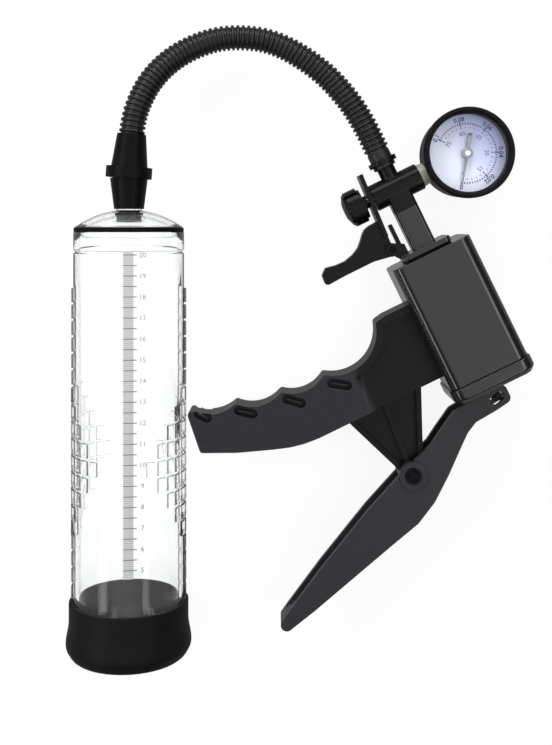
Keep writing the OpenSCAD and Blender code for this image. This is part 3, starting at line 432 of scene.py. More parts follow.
# Seal rubber: nitrile, flat black
seal_rubber, seal_shader = new_material("seal_rubber", IOR=1.5, Specular_IOR_Level=0.1)
grain(seal_rubber, seal_shader, 0.5, 0.01, (0.55, 0.7), ("#060607", "#0a0a0b"))


# %% Metals
# A wave texture draws about 3.2 rings per unit of its scale
RINGS_PER_SCALE = 3.2
RING_DEPTH = 0.004 * MM
SPOT_SIZE = 2.5 * MM


def turned_metal(name, colours, rough, pitch_mm, axis_turn, metallic=1.0):
    """Lathe-turned metal: fine rings across the turning axis, in roughness and in height."""
    material, shader = new_material(name, Metallic=metallic)
    place = add(material, "ShaderNodeTexCoord").outputs["Object"]
    turned = add(material, "ShaderNodeMapping", {"Vector": place, "Rotation": (0, 0, -axis_turn)})
    rings = add(material, "ShaderNodeTexWave",
                {"Vector": turned.outputs["Vector"], "Scale": 1 / (RINGS_PER_SCALE * pitch_mm * MM),
                 "Distortion": 1.5, "Detail": 2.0, "Detail Scale": 2.0})
    spots = add(material, "ShaderNodeTexNoise",
                {"Vector": place, "Scale": 1 / SPOT_SIZE, "Detail": 4.0})
    tone = add(material, "ShaderNodeMix",
               {0: spots.outputs[0], 6: linear(colours[0]), 7: linear(colours[1])}, data_type="RGBA")
    dull = add(material, "ShaderNodeMapRange",
               {"Value": rings.outputs["Fac"], "To Min": rough[0], "To Max": rough[1]})
    lift = add(material, "ShaderNodeBump",
               {"Height": rings.outputs["Fac"], "Distance": RING_DEPTH, "Strength": 0.6})
    links = material.node_tree.links
    links.new(tone.outputs[2], shader.inputs["Base Color"])
    links.new(dull.outputs["Result"], shader.inputs["Roughness"])
    links.new(lift.outputs["Normal"], shader.inputs["Normal"])
    return material


# Dulled nickel on brass at the gauge's fitting: warm grey, with lathe rings about 0.5 mm apart
nickel = turned_metal("nickel_plate", ("#b9b6ac", "#cbc8be"), (0.5, 0.62), 0.5, pump_turn, 0.45)
# Ground steel of the rod and the pins: cool grey, with rings too fine to show drawn at 0.4 mm
steel = turned_metal("ground_steel", ("#a9abae", "#c3c5c8"), (0.22, 0.36), 0.4,
                     pump_turn + math.pi / 2)
# Blackened steel of the pins that show: an oil-dark oxide on the turned metal
black_steel = turned_metal("black_oxide_steel", ("#17171a", "#222226"), (0.3, 0.45), 0.4, pump_turn)
# Rolled brass of the gauge's movement: warm yellow with a slight tarnish
brass = turned_metal("rolled_brass", ("#b98f45", "#d2ae66"), (0.25, 0.4), 0.4, pump_turn)
print("finishes so far:", len(bpy.data.materials))

# %% [markdown]
# ## Clear acrylic
#
# The chamber is cast acrylic. Its walls are thin and even, so what lies behind them hardly shifts, and
# a small index with a thin glossy coat shows that better than the index of a solid block. Where the eye
# looks along a wall instead of through it, the way through the plastic is long, and a facing ramp on the
# tint paints the rim as a dark line: painted shade in place of the dark surroundings that an edge-on
# wall shows. A trace of haze and of dust keeps the wall from looking computed.

# %% Acrylic and lens
RIM_SPREAD = 0.24
DUST_SIZE = 1.5 * MM
DUSTY_ROUGHNESS = 0.03


def clear_plastic(name, index, clear_colour, rim_shade_colour, rim_shade_start):
    material, shader = new_material(name, IOR=index, Transmission_Weight=0.988, Coat_Weight=0.15,
                                    Coat_Roughness=0.1)
    facing = add(material, "ShaderNodeLayerWeight", {"Blend": 0.5}).outputs["Facing"]
    # Painted shade: the tint darkens where a wall is seen edge-on
    rim = add(material, "ShaderNodeMapRange",
              {"Value": facing, "From Min": rim_shade_start, "From Max": rim_shade_start + RIM_SPREAD},
              interpolation_type="SMOOTHSTEP")
    tint = add(material, "ShaderNodeMix",
               {0: rim.outputs["Result"], 6: linear(clear_colour), 7: linear(rim_shade_colour)},
               data_type="RGBA")
    place = add(material, "ShaderNodeTexCoord").outputs["Object"]
    dust = add(material, "ShaderNodeTexNoise", {"Vector": place, "Scale": 1 / DUST_SIZE, "Detail": 4.0})
    haze = add(material, "ShaderNodeMapRange",
               {"Value": dust.outputs[0], "From Min": 0.45, "From Max": 0.8,
                "To Min": 0.0, "To Max": DUSTY_ROUGHNESS})
    links = material.node_tree.links
    links.new(tint.outputs[2], shader.inputs["Base Color"])
    links.new(haze.outputs["Result"], shader.inputs["Roughness"])
    return material


acrylic = clear_plastic("cast_acrylic", 1.2, "#fdfefe", "#0c0e10", 0.72)
# The steep walls of the hand blocks get a grey tint: painted shade for the darker look through them
block_wall_shade = clear_plastic("acrylic_block_walls", 1.2, "#6e7274", "#0c0e10", 0.5)
lens_plastic = clear_plastic("lens_polycarbonate", 1.15, "#fdfefe", "#8a8c92", 0.75)


# %% Card, paint and ink
# Painted tin of the dial: a pale lavender enamel with a faint speckle. Painted shade darkens it
# towards its upper right, as shade inside the case
DIAL_SHADE_STARTS = -16 * MM
DIAL_SHADE_FULL = 24 * MM
dial_enamel, dial_shader = new_material("dial_enamel", IOR=1.5)
grain(dial_enamel, dial_shader, 0.8, 0.004, (0.36, 0.46))
dial_place = add(dial_enamel, "ShaderNodeTexCoord").outputs["Object"]
dial_axes = add(dial_enamel, "ShaderNodeSeparateXYZ", {"Vector": dial_place})
dial_slant = add(dial_enamel, "ShaderNodeMath",
                 {0: dial_axes.outputs["X"], 1: dial_axes.outputs["Y"]}, operation="ADD")
dial_slant_middle = gauge_middle.x + gauge_middle.y
# Painted shade: a ramp that darkens the dial towards its upper right
dial_painted_shade = add(dial_enamel, "ShaderNodeMapRange",
                {"Value": dial_slant.outputs[0], "From Min": dial_slant_middle + DIAL_SHADE_STARTS,
                 "From Max": dial_slant_middle + DIAL_SHADE_FULL}, interpolation_type="SMOOTHSTEP")
dial_speck = add(dial_enamel, "ShaderNodeTexNoise",
                 {"Vector": dial_place, "Scale": 1 / (1.2 * MM), "Detail": 3.0})
dial_lower = add(dial_enamel, "ShaderNodeMix",
                 {0: dial_speck.outputs[0], 6: linear("#c9ccdf"), 7: linear("#d6d9e8")},
                 data_type="RGBA")
# The blue grey at the upper right is painted shade
dial_tone_with_shade = add(dial_enamel, "ShaderNodeMix",
                {0: dial_painted_shade.outputs["Result"], 6: dial_lower.outputs[2], 7: linear("#8f95c0")},
                data_type="RGBA")
dial_enamel.node_tree.links.new(dial_tone_with_shade.outputs[2], dial_shader.inputs["Base Color"])

FILM_RELIEF_MM = 0.003


def film(name, speckle_mm, rough, shades):
    """A thin opaque film of ink or lacquer with a fine speckle."""
    material, shader = new_material(name, IOR=1.5)
    grain(material, shader, speckle_mm, FILM_RELIEF_MM, rough, shades)
    return material


# Screen-printed ink of the tube's scale: a thin matt film, its speckle drawn at 0.5 mm so that it shows
ink_grey = film("scale_ink_grey", 0.5, (0.5, 0.6), ("#7a7c7e", "#8a8c8e"))
ink_pale = film("scale_ink_pale", 0.5, (0.5, 0.6), ("#c2c3c4", "#cbcccd"))
ink_ground = film("scale_ink_ground", 0.5, (0.5, 0.6), ("#dcdddd", "#e2e2e3"))
# Pad-printed ink of the dial: dark blue and slate, a little smoother
ink_blue = film("dial_ink_blue", 0.4, (0.45, 0.55), ("#1d2052", "#292c60"))
ink_slate = film("dial_ink_slate", 0.4, (0.45, 0.55), ("#5c6086", "#6c7096"))
# Needle: stamped aluminium under a grey lacquer, white on its boss, dark blue on its tail
needle_grey = film("needle_lacquer", 0.5, (0.35, 0.45), ("#6c6e75", "#7a7c83"))
boss_white = film("needle_boss_white", 0.5, (0.35, 0.45), ("#d8d6de", "#e4e2ea"))
tail_blue = film("needle_tail_blue", 0.5, (0.35, 0.45), ("#14163f", "#1d2050"))
print("finishes:", len(bpy.data.materials))

# %% [markdown]
# ## Putting the hose in place
#
# The hose rides on the pump, at its real length. It is stiff enough to hold its arch between the two
# ends that carry it.

# %% Hose piece
hose = link_piece("hose_ringed", hose_mesh, hose_vinyl, "pump_frame", ["hose"])

# %% [markdown]
# ## The clear tube
#
# The tube is one piece, with raised blocks moulded on both sides for the hand. A boolean would leave
# ragged faces, and acrylic shows every one of them. Spinning the wall in steps of 2.4 degrees puts face
# edges exactly where each block begins and ends, so the blocks are simply extruded faces of one closed
# skin.

# %% Tube with its hand blocks
TUBE_R = 27.5 * MM
TUBE_IN = 25.0 * MM
TUBE_FOOT = 3.0 * MM
TUBE_TOP = 211.0 * MM
GROOVE_FOOT = 200.4 * MM
GROOVE_W = 1.6 * MM
GROOVE_DEPTH = 0.8 * MM
BLOCK_LEN = 7.0 * MM
BLOCK_PITCH = 8.2 * MM
BLOCK_RISE = 1.1 * MM
BLOCK_ROUND_MM = 0.3
BLOCK_MIDDLE = 97.5 * MM
BLOCKS_BELOW = 8
BLOCKS_ABOVE = 10
BLOCK_COLUMNS = 5
COLUMN_DEGREES = 12.0
BLOCK_DEGREES = 9.6
TUBE_STEPS = 150
TUBE_EDGE = 0.4 * MM
SKIN_SLACK = 0.2 * MM
NUDGE = 0.01 * MM
STEEP = 0.6
WALLS_FROM_RISE = 0.05 * MM
WALLS_FROM_Z = -2.5 * MM


def spun(profile, steps):
    """A closed profile of (radius, height) corners turned once round the chamber's axis."""
    bm = bmesh.new()
    corners = [bm.verts.new((r, y, 0.0)) for r, y in profile]
    edges = [bm.edges.new(pair) for pair in zip(corners, corners[1:] + corners[:1])]
    bmesh.ops.spin(bm, geom=corners + edges, cent=(0, 0, 0), axis=(0, 1, 0), angle=math.tau,
                   steps=steps, use_merge=True)
    bmesh.ops.remove_doubles(bm, verts=bm.verts, dist=MERGE)
    bmesh.ops.recalc_face_normals(bm, faces=bm.faces)
    return bm


def block_row(height):
    """The row of blocks that a height lies in, counted from the diamond's middle, or None."""
    row = round((height - BLOCK_MIDDLE) / BLOCK_PITCH)
    return row if abs(height - BLOCK_MIDDLE - row * BLOCK_PITCH) < BLOCK_LEN / 2 else None


def beside_block(edge):
    """Whether an edge starts in a row of blocks, or right at the row's end."""
    height = edge.verts[0].co.y
    return any(block_row(height + step) is not None for step in (0.0, -NUDGE, NUDGE))


def is_block(face):
    """Whether a face of the tube's outer skin belongs to a block of the diamond."""
    middle = face.calc_center_median()
    row = block_row(middle.y)
    inside = math.hypot(middle.x, middle.z) < TUBE_R - SKIN_SLACK
    if row is None or inside or abs(face.normal.y) > 0.5:
        return False
    turn = math.degrees(math.atan2(middle.z, abs(middle.x)))
    column = round(turn / COLUMN_DEGREES)
    if abs(turn - column * COLUMN_DEGREES) > BLOCK_DEGREES / 2:
        return False
    wing = BLOCK_COLUMNS - abs(column)
    below, above = (BLOCKS_BELOW, BLOCKS_ABOVE) if column == 0 else (wing, wing)
    return -below <= row <= above


row_edges = [BLOCK_MIDDLE + row * BLOCK_PITCH + half * BLOCK_LEN
             for row in range(-BLOCKS_BELOW, BLOCKS_ABOVE + 1) for half in (-0.5, 0.5)]
tube_profile = [(TUBE_IN, TUBE_FOOT), (TUBE_R - TUBE_EDGE, TUBE_FOOT), (TUBE_R, TUBE_FOOT + TUBE_EDGE)]
tube_profile += [(TUBE_R, y) for y in row_edges]
tube_profile += [
    (TUBE_R, GROOVE_FOOT), (TUBE_R - GROOVE_DEPTH, GROOVE_FOOT + TUBE_EDGE),
    (TUBE_R - GROOVE_DEPTH, GROOVE_FOOT + GROOVE_W - TUBE_EDGE), (TUBE_R, GROOVE_FOOT + GROOVE_W),
    (TUBE_R, TUBE_TOP - TUBE_EDGE), (TUBE_R - TUBE_EDGE, TUBE_TOP), (TUBE_IN, TUBE_TOP),
]
tube_bm = spun(tube_profile, TUBE_STEPS)
blocks = [face for face in tube_bm.faces if is_block(face)]
raised = bmesh.ops.extrude_face_region(tube_bm, geom=blocks)["geom"]
for vert in [item for item in raised if isinstance(item, bmesh.types.BMVert)]:
    vert.co.x *= 1 + BLOCK_RISE / TUBE_R
    vert.co.z *= 1 + BLOCK_RISE / TUBE_R
bmesh.ops.delete(tube_bm, geom=[face for face in blocks if face.is_valid], context="FACES_ONLY")
bmesh.ops.recalc_face_normals(tube_bm, faces=tube_bm.faces)
bevelled(tube_bm, BLOCK_ROUND_MM, sharp_degrees=60, segments=2, keep=beside_block)
tube_mesh = to_mesh(tube_bm, "clear_tube", 50)
tube = link_piece("chamber_tube_clear", tube_mesh, acrylic, "chamber", ["chamber_tube"])
tube_mesh.materials.append(block_wall_shade)
# Painted shade: the steep block walls on the tube's upper half take the grey tint
for face in tube_mesh.polygons:
    out = Vector((face.center.x, 0, face.center.z))
    steep = face.normal.dot(out.normalized()) < STEEP
    if steep and out.length > TUBE_R + WALLS_FROM_RISE and face.center.z > WALLS_FROM_Z:
        face.material_index = 1
wall_count = sum(face.material_index for face in tube_mesh.polygons)
print("tube faces:", len(tube_mesh.polygons), "of them walls:", wall_count)

# %% [markdown]
# ## The rubber sleeve
#
# The chamber's mouth sits in a soft moulded sleeve with a flared foot and a round-edged rim. Moulded
# rubber has no sharp edge anywhere, so its profile is drawn with rounded corners and spun once.

# %% Sleeve
def rounded_profile(corners, steps=4):
    """A closed profile of (radius, height, corner radius), with each corner drawn as an arc."""
    points = []
    for k, (x, y, radius) in enumerate(corners):
        here = Vector((x, y))
        before = Vector(corners[k - 1][:2]) - here
        after = Vector(corners[(k + 1) % len(corners)][:2]) - here
        first = here + before.normalized() * radius
        last = here + after.normalized() * radius
        for i in range(steps + 1):
            t = i / steps
            points.append(first * (1 - t) ** 2 + here * 2 * t * (1 - t) + last * t * t)
    return [(p.x * MM, p.y * MM) for p in points]


SLEEVE_H = 28.0
SLEEVE_R = 29.65
SLEEVE_FLARE = 1.5
SEAT_R = 27.56
MOUTH_R = 22.0
LIP = 3.0
SLEEVE_STEPS = 128
sleeve_profile = rounded_profile([
    (MOUTH_R, 0.0, 1.2), (MOUTH_R + 6.0, 0.15, 3.0), (SLEEVE_R + SLEEVE_FLARE, 0.2 * SLEEVE_H, 1.6),
    (SLEEVE_R + SLEEVE_FLARE, 0.32 * SLEEVE_H, 1.6),
    (SLEEVE_R, 0.6 * SLEEVE_H, 2.0), (SLEEVE_R, SLEEVE_H, 0.8), (SEAT_R, SLEEVE_H, 0.6),
    (SEAT_R, LIP, 0.4), (MOUTH_R, LIP, 1.2),
])
sleeve_mesh = to_mesh(spun(sleeve_profile, SLEEVE_STEPS), "sleeve_moulded", 60)
link_piece("sleeve_moulded", sleeve_mesh, sleeve_rubber, "sleeve", ["base_sleeve"])
print("sleeve faces:", len(sleeve_mesh.polygons))

# %% [markdown]
# ## Dressing the moulded and turned pieces
#
# The hard pieces already have their true shape in the frame. A moulded or turned edge is never sharp,
# though, and it is the thin highlight along a rounded edge that shows where one face ends. So a merged
# copy of each solid gets its edges rounded, by more on a large moulding than on a pin.

# %% Pump body and handles
for node, edge_mm in {"pump_barrel": 0.6, "end_cap": 0.7}.items():
    dress(node, gloss_abs, edge_mm)
dress("grip_handle", grip_abs, 0.4, roll_mm=2.2)
dress("lever", satin_abs, 0.5, roll_mm=1.0)
for node, edge_mm in {"release_trigger": 0.5, "valve_knob": 0.4, "clamp_ring": 0.4}.items():
    dress(node, head_nylon, edge_mm)
for node, edge_mm in {"gauge_case": 0.6, "gauge_bezel": 0.5}.items():
    dress(node, case_black, edge_mm)

# The head is black above. Its plate, and its post up to a cut, have the barrel's charcoal gloss
PLATE_TOP = 78 * MM
POST_TOP = 98 * MM
POST_HALF = 7 * MM
head = dress("manifold", head_nylon, 0.5)
head_bm = bmesh.new()
head_bm.from_mesh(head.data)
post_cut = pump_foot + POST_TOP * pump_up
everything = head_bm.verts[:] + head_bm.edges[:] + head_bm.faces[:]
bmesh.ops.bisect_plane(head_bm, geom=everything, plane_co=post_cut, plane_no=pump_up)
head_bm.to_mesh(head.data)
head_bm.free()
head.data.materials.append(gloss_abs)
for face in head.data.polygons:
    up = (face.center - pump_foot).dot(pump_up)
    across = abs((face.center - pump_foot).dot(pump_side))
    if up < PLATE_TOP or (up < POST_TOP and across < POST_HALF):
        face.material_index = 1
print("post faces:", sum(face.material_index for face in head.data.polygons))

# %% Hose ends and seals
dress("hose_cuff", hose_vinyl, 0.5)
dress("hose_connector", connector_rubber, 0.4)
for node, edge_mm in {"cap_gasket": 0.3, "neck_seal": 0.1, "head_gasket": 0.15, "inlet_valve": 0.15,
                      "exhaust_valve": 0.15, "piston_seal": 0.2, "valve_seal": 0.1}.items():
    dress(node, seal_rubber, edge_mm)

# %% Working parts inside
for node, edge_mm in {"piston": 0.3, "rod_bush": 0.3, "valve_bush": 0.2}.items():
    dress(node, acetal, edge_mm)
for node, edge_mm in {"piston_rod": 0.3, "piston_nut": 0.25, "valve_stem": 0.15, "sector_pin": 0.1,
                      "needle_arbor": 0.08}.items():
    dress(node, steel, edge_mm)
for node, edge_mm in {"rod_pin": 0.25, "pivot_pin": 0.3, "pivot_clips": 0.12,
                      "trigger_pin": 0.2}.items():
    dress(node, black_steel, edge_mm)
dress("gauge_stem", nickel, 0.15)
for node, edge_mm in {"bourdon_tube": 0.1, "movement_base": 0.15, "movement_bridge": 0.15,
                      "sector_gear": 0.08}.items():
    dress(node, brass, edge_mm)

# %% Clear and printed pieces
cap = dress("chamber_cap", acrylic, 0.25)
lens = dress("gauge_lens", lens_plastic, 0.2)
for clear in (tube, cap, lens):
    clear.visible_shadow = False
dress("gauge_dial", dial_enamel, 0.08)
dress("gauge_needle", needle_grey, 0.08)

# %% [markdown]
# ## Springs
#
# A coil spring is one wire wound at an even pitch. Spinning a small disc round the axis while it climbs
# draws exactly that. The large spring pushes the piston back up, and the small one shuts the valve.

# %% Springs
def coil(radius_mm, wire_mm, turns, length_mm, sides=8, steps=20):
    """A wire wound up the z axis, from the height of its first end."""
    bm = bmesh.new()
    stand = Matrix.Translation((radius_mm * MM, 0, 0)) @ Matrix.Rotation(math.pi / 2, 4, "X")
    bmesh.ops.create_circle(bm, cap_ends=True, radius=wire_mm / 2 * MM, segments=sides, matrix=stand)
    climb = length_mm * MM / (turns * steps)
    bmesh.ops.spin(bm, geom=bm.verts[:] + bm.edges[:] + bm.faces[:], cent=(0, 0, 0), axis=(0, 0, 1),
                   dvec=(0, 0, climb), angle=turns * math.tau, steps=turns * steps)
    bmesh.ops.recalc_face_normals(bm, faces=bm.faces)
    return bm


def along(axis, across, foot):
    """A placement whose z runs along an axis and whose x points across it."""
    turned = Matrix((across, axis.cross(across), axis)).transposed().to_4x4()
    return Matrix.Translation(foot) @ turned


SPRING_FOOT = 11.85
SPRING_END = 56.65
VALVE_SPRING_FOOT = -10.15
VALVE_SPRING_END = -5.3
cross_up = (gauge_middle - pump_foot).dot(pump_up)
spring_bm = coil(radius_mm=9.5, wire_mm=1.6, turns=10, length_mm=SPRING_END - SPRING_FOOT)
spring_place = along(pump_up, pump_side, pump_foot + SPRING_FOOT * MM * pump_up)
bmesh.ops.transform(spring_bm, matrix=spring_place, verts=spring_bm.verts)
spring = link_piece("return_spring_wound", to_mesh(spring_bm, "return_spring_wound", 60), steel,
                    body_of("return_spring"), ["return_spring"])
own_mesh(spring)
small_bm = coil(radius_mm=2.8, wire_mm=0.6, turns=3, length_mm=VALVE_SPRING_END - VALVE_SPRING_FOOT)
cross_middle = pump_foot + cross_up * pump_up
small_place = along(pump_side, pump_up, cross_middle + VALVE_SPRING_FOOT * MM * pump_side)
bmesh.ops.transform(small_bm, matrix=small_place, verts=small_bm.verts)
small = link_piece("valve_spring_wound", to_mesh(small_bm, "valve_spring_wound", 60), steel,
                   body_of("valve_spring"), ["valve_spring"])
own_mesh(small)
print("springs wound, the valve's axis at", round(cross_up / MM, 1), "mm up the pump")

# %% [markdown]
# ## The printed scale
#
# The chamber carries a printed centimetre scale. Each line is a thin film of ink: it is drawn flat,
# given the thickness of a screen print, and then wrapped on the tube. Numerals start as text, and they
# become plain mesh before they are wrapped.

# %% Flat print
INK_LOW = 0.02 * MM
INK_GROUND = 0.04 * MM
INK_HIGH = 0.08 * MM
# A digit is this share of its font's size high
DIGIT_SHARE = 0.7


def bar(bm, left, right, low, high, pieces=1):
    """A flat mark between four edges, in millimetres."""
    middle = Matrix.Translation(((left + right) / 2 * MM, (low + high) / 2 * MM, 0))
    half = Matrix.Diagonal(((right - left) / 2 * MM, (high - low) / 2 * MM, 1, 1))
    bmesh.ops.create_grid(bm, x_segments=pieces, y_segments=1, size=1.0, matrix=middle @ half)


def thicken(bm, top=INK_HIGH):
    """Turns flat marks to a film of ink."""
    for vert in bm.verts:
        vert.co.z = INK_LOW
    lifted = bmesh.ops.extrude_face_region(bm, geom=bm.faces[:])["geom"]
    for vert in [item for item in lifted if isinstance(item, bmesh.types.BMVert)]:
        vert.co.z = top
    bmesh.ops.recalc_face_normals(bm, faces=bm.faces)


def numerals(bm, text, height_mm, place, bold_mm=0.0):
    """A number as flat mesh, upright about its middle, put in its place."""
    curve = bpy.data.curves.new("numerals", "FONT")
    curve.body = text
    curve.size = height_mm * MM / DIGIT_SHARE
    curve.align_x = "CENTER"
    curve.offset = bold_mm * MM
    curve.resolution_u = 2
    holder = bpy.data.objects.new("numerals", curve)
    mesh = bpy.data.meshes.new_from_object(holder)
    first = len(bm.verts)
    bm.from_mesh(mesh)
    bm.verts.ensure_lookup_table()
    drop = Matrix.Translation((0, -height_mm / 2 * MM, 0))
    bmesh.ops.transform(bm, matrix=place @ drop, verts=bm.verts[first:])
    bpy.data.objects.remove(holder)
    bpy.data.curves.remove(curve)
    bpy.data.meshes.remove(mesh)


def wrap_on_tube(bm):
    """Bends flat print round the tube's front."""
    for vert in bm.verts:
        turn = vert.co.x / TUBE_R
        radius = TUBE_R + vert.co.z
        vert.co = Vector((radius * math.sin(turn), vert.co.y, radius * math.cos(turn)))


# %% Scale on the tube
SCALE_FIRST_MM = 46
SCALE_LAST_MM = 201
SCALE_SHIFT = 0.2
SCALE_LEFT = 0.9
FINE_RIGHT = 5.8
FINE_HALF = 0.18
BOLD_RIGHT = 7.4
BOLD_HALF = 0.24
NUMBER_AT = 10.2
NUMBER_HEIGHT = 2.4
ground_bm = bmesh.new()
bar(ground_bm, SCALE_LEFT, FINE_RIGHT, SCALE_FIRST_MM, SCALE_LAST_MM + 0.5, 4)
fine_bm = bmesh.new()
bold_bm = bmesh.new()
for mark in range(SCALE_FIRST_MM, SCALE_LAST_MM + 1):
    at = mark + SCALE_SHIFT
    if mark % 5:
        bar(fine_bm, SCALE_LEFT, FINE_RIGHT, at - FINE_HALF, at + FINE_HALF, 4)
    else:
        bar(bold_bm, SCALE_LEFT, BOLD_RIGHT, at - BOLD_HALF, at + BOLD_HALF, 5)
    if mark % 10 == 0:
        number_place = Matrix.Translation((NUMBER_AT * MM, at * MM, 0))
        numerals(bold_bm, str(mark // 10), NUMBER_HEIGHT, number_place)
for name, bm, ink, top in (("scale_ground", ground_bm, ink_ground, INK_GROUND),
                           ("scale_fine", fine_bm, ink_pale, INK_HIGH),
                           ("scale_bold", bold_bm, ink_grey, INK_HIGH)):
    thicken(bm, top)
    wrap_on_tube(bm)
    piece = link_piece(name, to_mesh(bm, name, 30), ink, "chamber")
    print(name, "faces:", len(piece.data.polygons))

# %% [markdown]
# ## The dial
#
# The dial is printed with two scales that share their steps: an outer one to 0.1 and an inner one to
# 75, the same vacuum in two units. Each step has ten divisions on the outer scale and five on the inner
# one. The numbers stand with their tops outward, so each is turned to its own place on the circle.

# %% Print on the dial
DIAL_ZERO = -99.0
DIAL_STEP = 50.6
DIAL_STEPS = 5
DIVISIONS = 10
OUTER_TICKS_R = 15.0
INNER_TICKS_R = 13.0
OUTER_NUMBERS_R = 17.3
INNER_NUMBERS_R = 10.2
OUTER_NUMBERS_H = 2.3
INNER_NUMBERS_H = 2.2
OUTER_BOLD = 0.08
INNER_BOLD = 0.06
dial_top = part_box("gauge_dial")[1].z


def on_dial(degrees, radius_mm):
    """A placement on the dial with its y pointing outward."""
    turn = Matrix.Rotation(math.radians(degrees - 90), 4, "Z")
    return turn @ Matrix.Translation((0, radius_mm * MM, 0))


def tick(bm, degrees, radius_mm, long_mm, wide_mm):
    """A flat line on the dial that points outward."""
    half = Matrix.Diagonal((wide_mm / 2 * MM, long_mm / 2 * MM, 1, 1))
    place = on_dial(degrees, radius_mm) @ half
    bmesh.ops.create_grid(bm, x_segments=1, y_segments=1, size=1.0, matrix=place)


outer_bm = bmesh.new()
inner_bm = bmesh.new()
for division in range(DIVISIONS * DIAL_STEPS + 1):
    angle = DIAL_ZERO + DIAL_STEP * division / DIVISIONS
    whole = division % DIVISIONS == 0
    tick(outer_bm, angle, OUTER_TICKS_R, 1.9 if whole else 0.9, 0.8 if whole else 0.6)
    if division % 2 == 0:
        tick(inner_bm, angle, INNER_TICKS_R, 1.4 if whole else 0.8, 0.7 if whole else 0.55)
for step in range(DIAL_STEPS + 1):
    angle = DIAL_ZERO + DIAL_STEP * step
    outer_text = "0.1" if step == DIAL_STEPS else "0" if step == 0 else "0.0" + str(2 * step)
    numerals(outer_bm, outer_text, OUTER_NUMBERS_H, on_dial(angle, OUTER_NUMBERS_R), OUTER_BOLD)
    numerals(inner_bm, str(15 * step), INNER_NUMBERS_H, on_dial(angle, INNER_NUMBERS_R), INNER_BOLD)
for name, bm, ink in (("dial_outer_scale", outer_bm, ink_blue),
                      ("dial_inner_scale", inner_bm, ink_slate)):
    thicken(bm)
    bmesh.ops.translate(bm, vec=Vector((gauge_middle.x, gauge_middle.y, dial_top)), verts=bm.verts)
    piece = link_piece(name, to_mesh(bm, name, 30), ink, body_of("gauge_dial"))
    print(name, "faces:", len(piece.data.polygons))

# %% Paint on the needle
NEEDLE_FROM_PUMP = 235.0
BOSS_R = 1.3 * MM
TAIL_TIP_AT = 9.5
TAIL_TIP_DROP = 1.45 * MM
tail_tip_half = (1.1 * MM, 0.9 * MM, 0.36 * MM, 1)
needle_rest = NEEDLE_FROM_PUMP + math.degrees(pump_turn)
needle_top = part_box("gauge_needle")[1].z
boss_bm = bmesh.new()
bmesh.ops.create_circle(boss_bm, cap_ends=True, radius=BOSS_R, segments=32)
tip_bm = bmesh.new()
tip_place = on_dial(needle_rest + 180, TAIL_TIP_AT) @ Matrix.Diagonal(tail_tip_half)
bmesh.ops.create_uvsphere(tip_bm, u_segments=20, v_segments=10, radius=1.0, matrix=tip_place)
thicken(boss_bm)
for name, bm, paint, height in (("needle_boss", boss_bm, boss_white, needle_top),
                                ("needle_tail_tip", tip_bm, tail_blue, needle_top - TAIL_TIP_DROP)):
    bmesh.ops.translate(bm, vec=Vector((gauge_middle.x, gauge_middle.y, height)), verts=bm.verts)
    link_piece(name, to_mesh(bm, name, 40), paint, body_of("gauge_needle"))
print("needle painted, at rest at", round(needle_rest), "degrees")

# %% [markdown]
# ## Floor and light
#
# The object lies on a white table between long softboxes, left, right and behind, under a pale ceiling.
# Their reflections draw the bright lines along its edges, and the ceiling greys its flat black faces.
# The floor is white to the camera and to clear pieces, and it still takes the object's own soft shadow.

# %% Floor
def seen_plainly(material):
    """1 where the background itself is seen, also through a clear piece, and 0 for its light."""
    rays = add(material, "ShaderNodeLightPath").outputs
    fresh = add(material, "ShaderNodeMath", {0: rays["Diffuse Depth"], 1: 0.5}, operation="LESS_THAN")
    through = add(material, "ShaderNodeMath", {0: rays["Is Transmission Ray"], 1: fresh.outputs[0]},
                  operation="MULTIPLY")
    seen = add(material, "ShaderNodeMath", {0: rays["Is Camera Ray"], 1: through.outputs[0]},
               operation="MAXIMUM")
    return seen.outputs[0]


FLOOR_HALF = 3.0
FLOOR_SHADE = 0.14
FLOOR_GLOW = 0.9
MIRRORED_FLOOR = 0.36
floor_mesh = bpy.data.meshes.new("table_top")
floor_bm = bmesh.new()
bmesh.ops.create_grid(floor_bm, x_segments=1, y_segments=1, size=FLOOR_HALF)
floor_bm.to_mesh(floor_mesh)
floor_bm.free()
floor = bpy.data.objects.new("table_top", floor_mesh)
bpy.context.collection.objects.link(floor)
floor.location.z = floor_z
table_white, table_shader = new_material("table_white", Roughness=0.9, Specular_IOR_Level=0.0)
table_shader.inputs["Base Color"].default_value = (FLOOR_SHADE, FLOOR_SHADE, FLOOR_SHADE, 1.0)
glossy = add(table_white, "ShaderNodeLightPath").outputs["Is Glossy Ray"]
mirrored = add(table_white, "ShaderNodeMath", {0: glossy, 1: MIRRORED_FLOOR}, operation="MULTIPLY")
seen = add(table_white, "ShaderNodeMath", {0: seen_plainly(table_white), 1: mirrored.outputs[0]},
           operation="MAXIMUM")
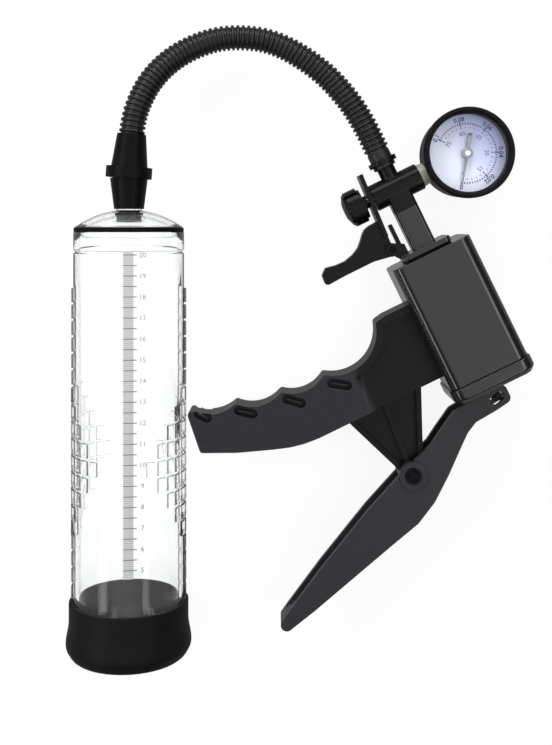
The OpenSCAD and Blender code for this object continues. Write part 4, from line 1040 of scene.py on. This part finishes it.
glow = add(table_white, "ShaderNodeMath", {0: seen.outputs[0], 1: FLOOR_GLOW}, operation="MULTIPLY")
table_shader.inputs["Emission Color"].default_value = (1, 1, 1, 1)
table_white.node_tree.links.new(glow.outputs[0], table_shader.inputs["Emission Strength"])
floor_mesh.materials.append(table_white)

# %% Lamps and room
SOFTBOX_AWAY = 0.62
SOFTBOX_WIDTH = 0.16
CEILING_EDGE = 0.82
CEILING_FULL = 0.93
WALL_LEVEL = 0.04
CEILING_LEVEL = 0.9
stage_middle = Vector((100, 150, 0)) * MM


def softbox(name, around_degrees, rise_degrees, power, length):
    """A long lamp that faces the middle of the stage from one side."""
    light = bpy.data.lights.new(name, "AREA")
    light.shape = "RECTANGLE"
    light.size = length
    light.size_y = SOFTBOX_WIDTH
    light.energy = power
    lamp = bpy.data.objects.new(name, light)
    bpy.context.collection.objects.link(lamp)
    around = math.radians(around_degrees)
    rise = math.radians(rise_degrees)
    level_reach = math.cos(rise)
    outward = Vector((level_reach * math.cos(around), level_reach * math.sin(around), math.sin(rise)))
    lamp.location = stage_middle + SOFTBOX_AWAY * outward
    lamp.rotation_euler = outward.to_track_quat("Z", "Y").to_euler()


softbox("softbox_left", 180, 36, 1.9, 1.0)
softbox("softbox_right", 0, 54, 1.4, 1.0)
softbox("softbox_back", 100, 26, 2.6, 0.9)

world = bpy.data.worlds.new("pale_room")
bpy.context.scene.world = world
world.use_nodes = True
sky = world.node_tree.nodes["Background"]
place = add(world, "ShaderNodeTexCoord").outputs["Generated"]
height = add(world, "ShaderNodeSeparateXYZ", {"Vector": place}).outputs["Z"]
dome = add(world, "ShaderNodeMapRange",
           {"Value": height, "From Min": CEILING_EDGE, "From Max": CEILING_FULL,
            "To Min": WALL_LEVEL, "To Max": CEILING_LEVEL})
level = add(world, "ShaderNodeMath", {0: dome.outputs["Result"], 1: seen_plainly(world)},
            operation="MAXIMUM")
sky.inputs["Color"].default_value = (1, 1, 1, 1)
world.node_tree.links.new(level.outputs[0], sky.inputs["Strength"])
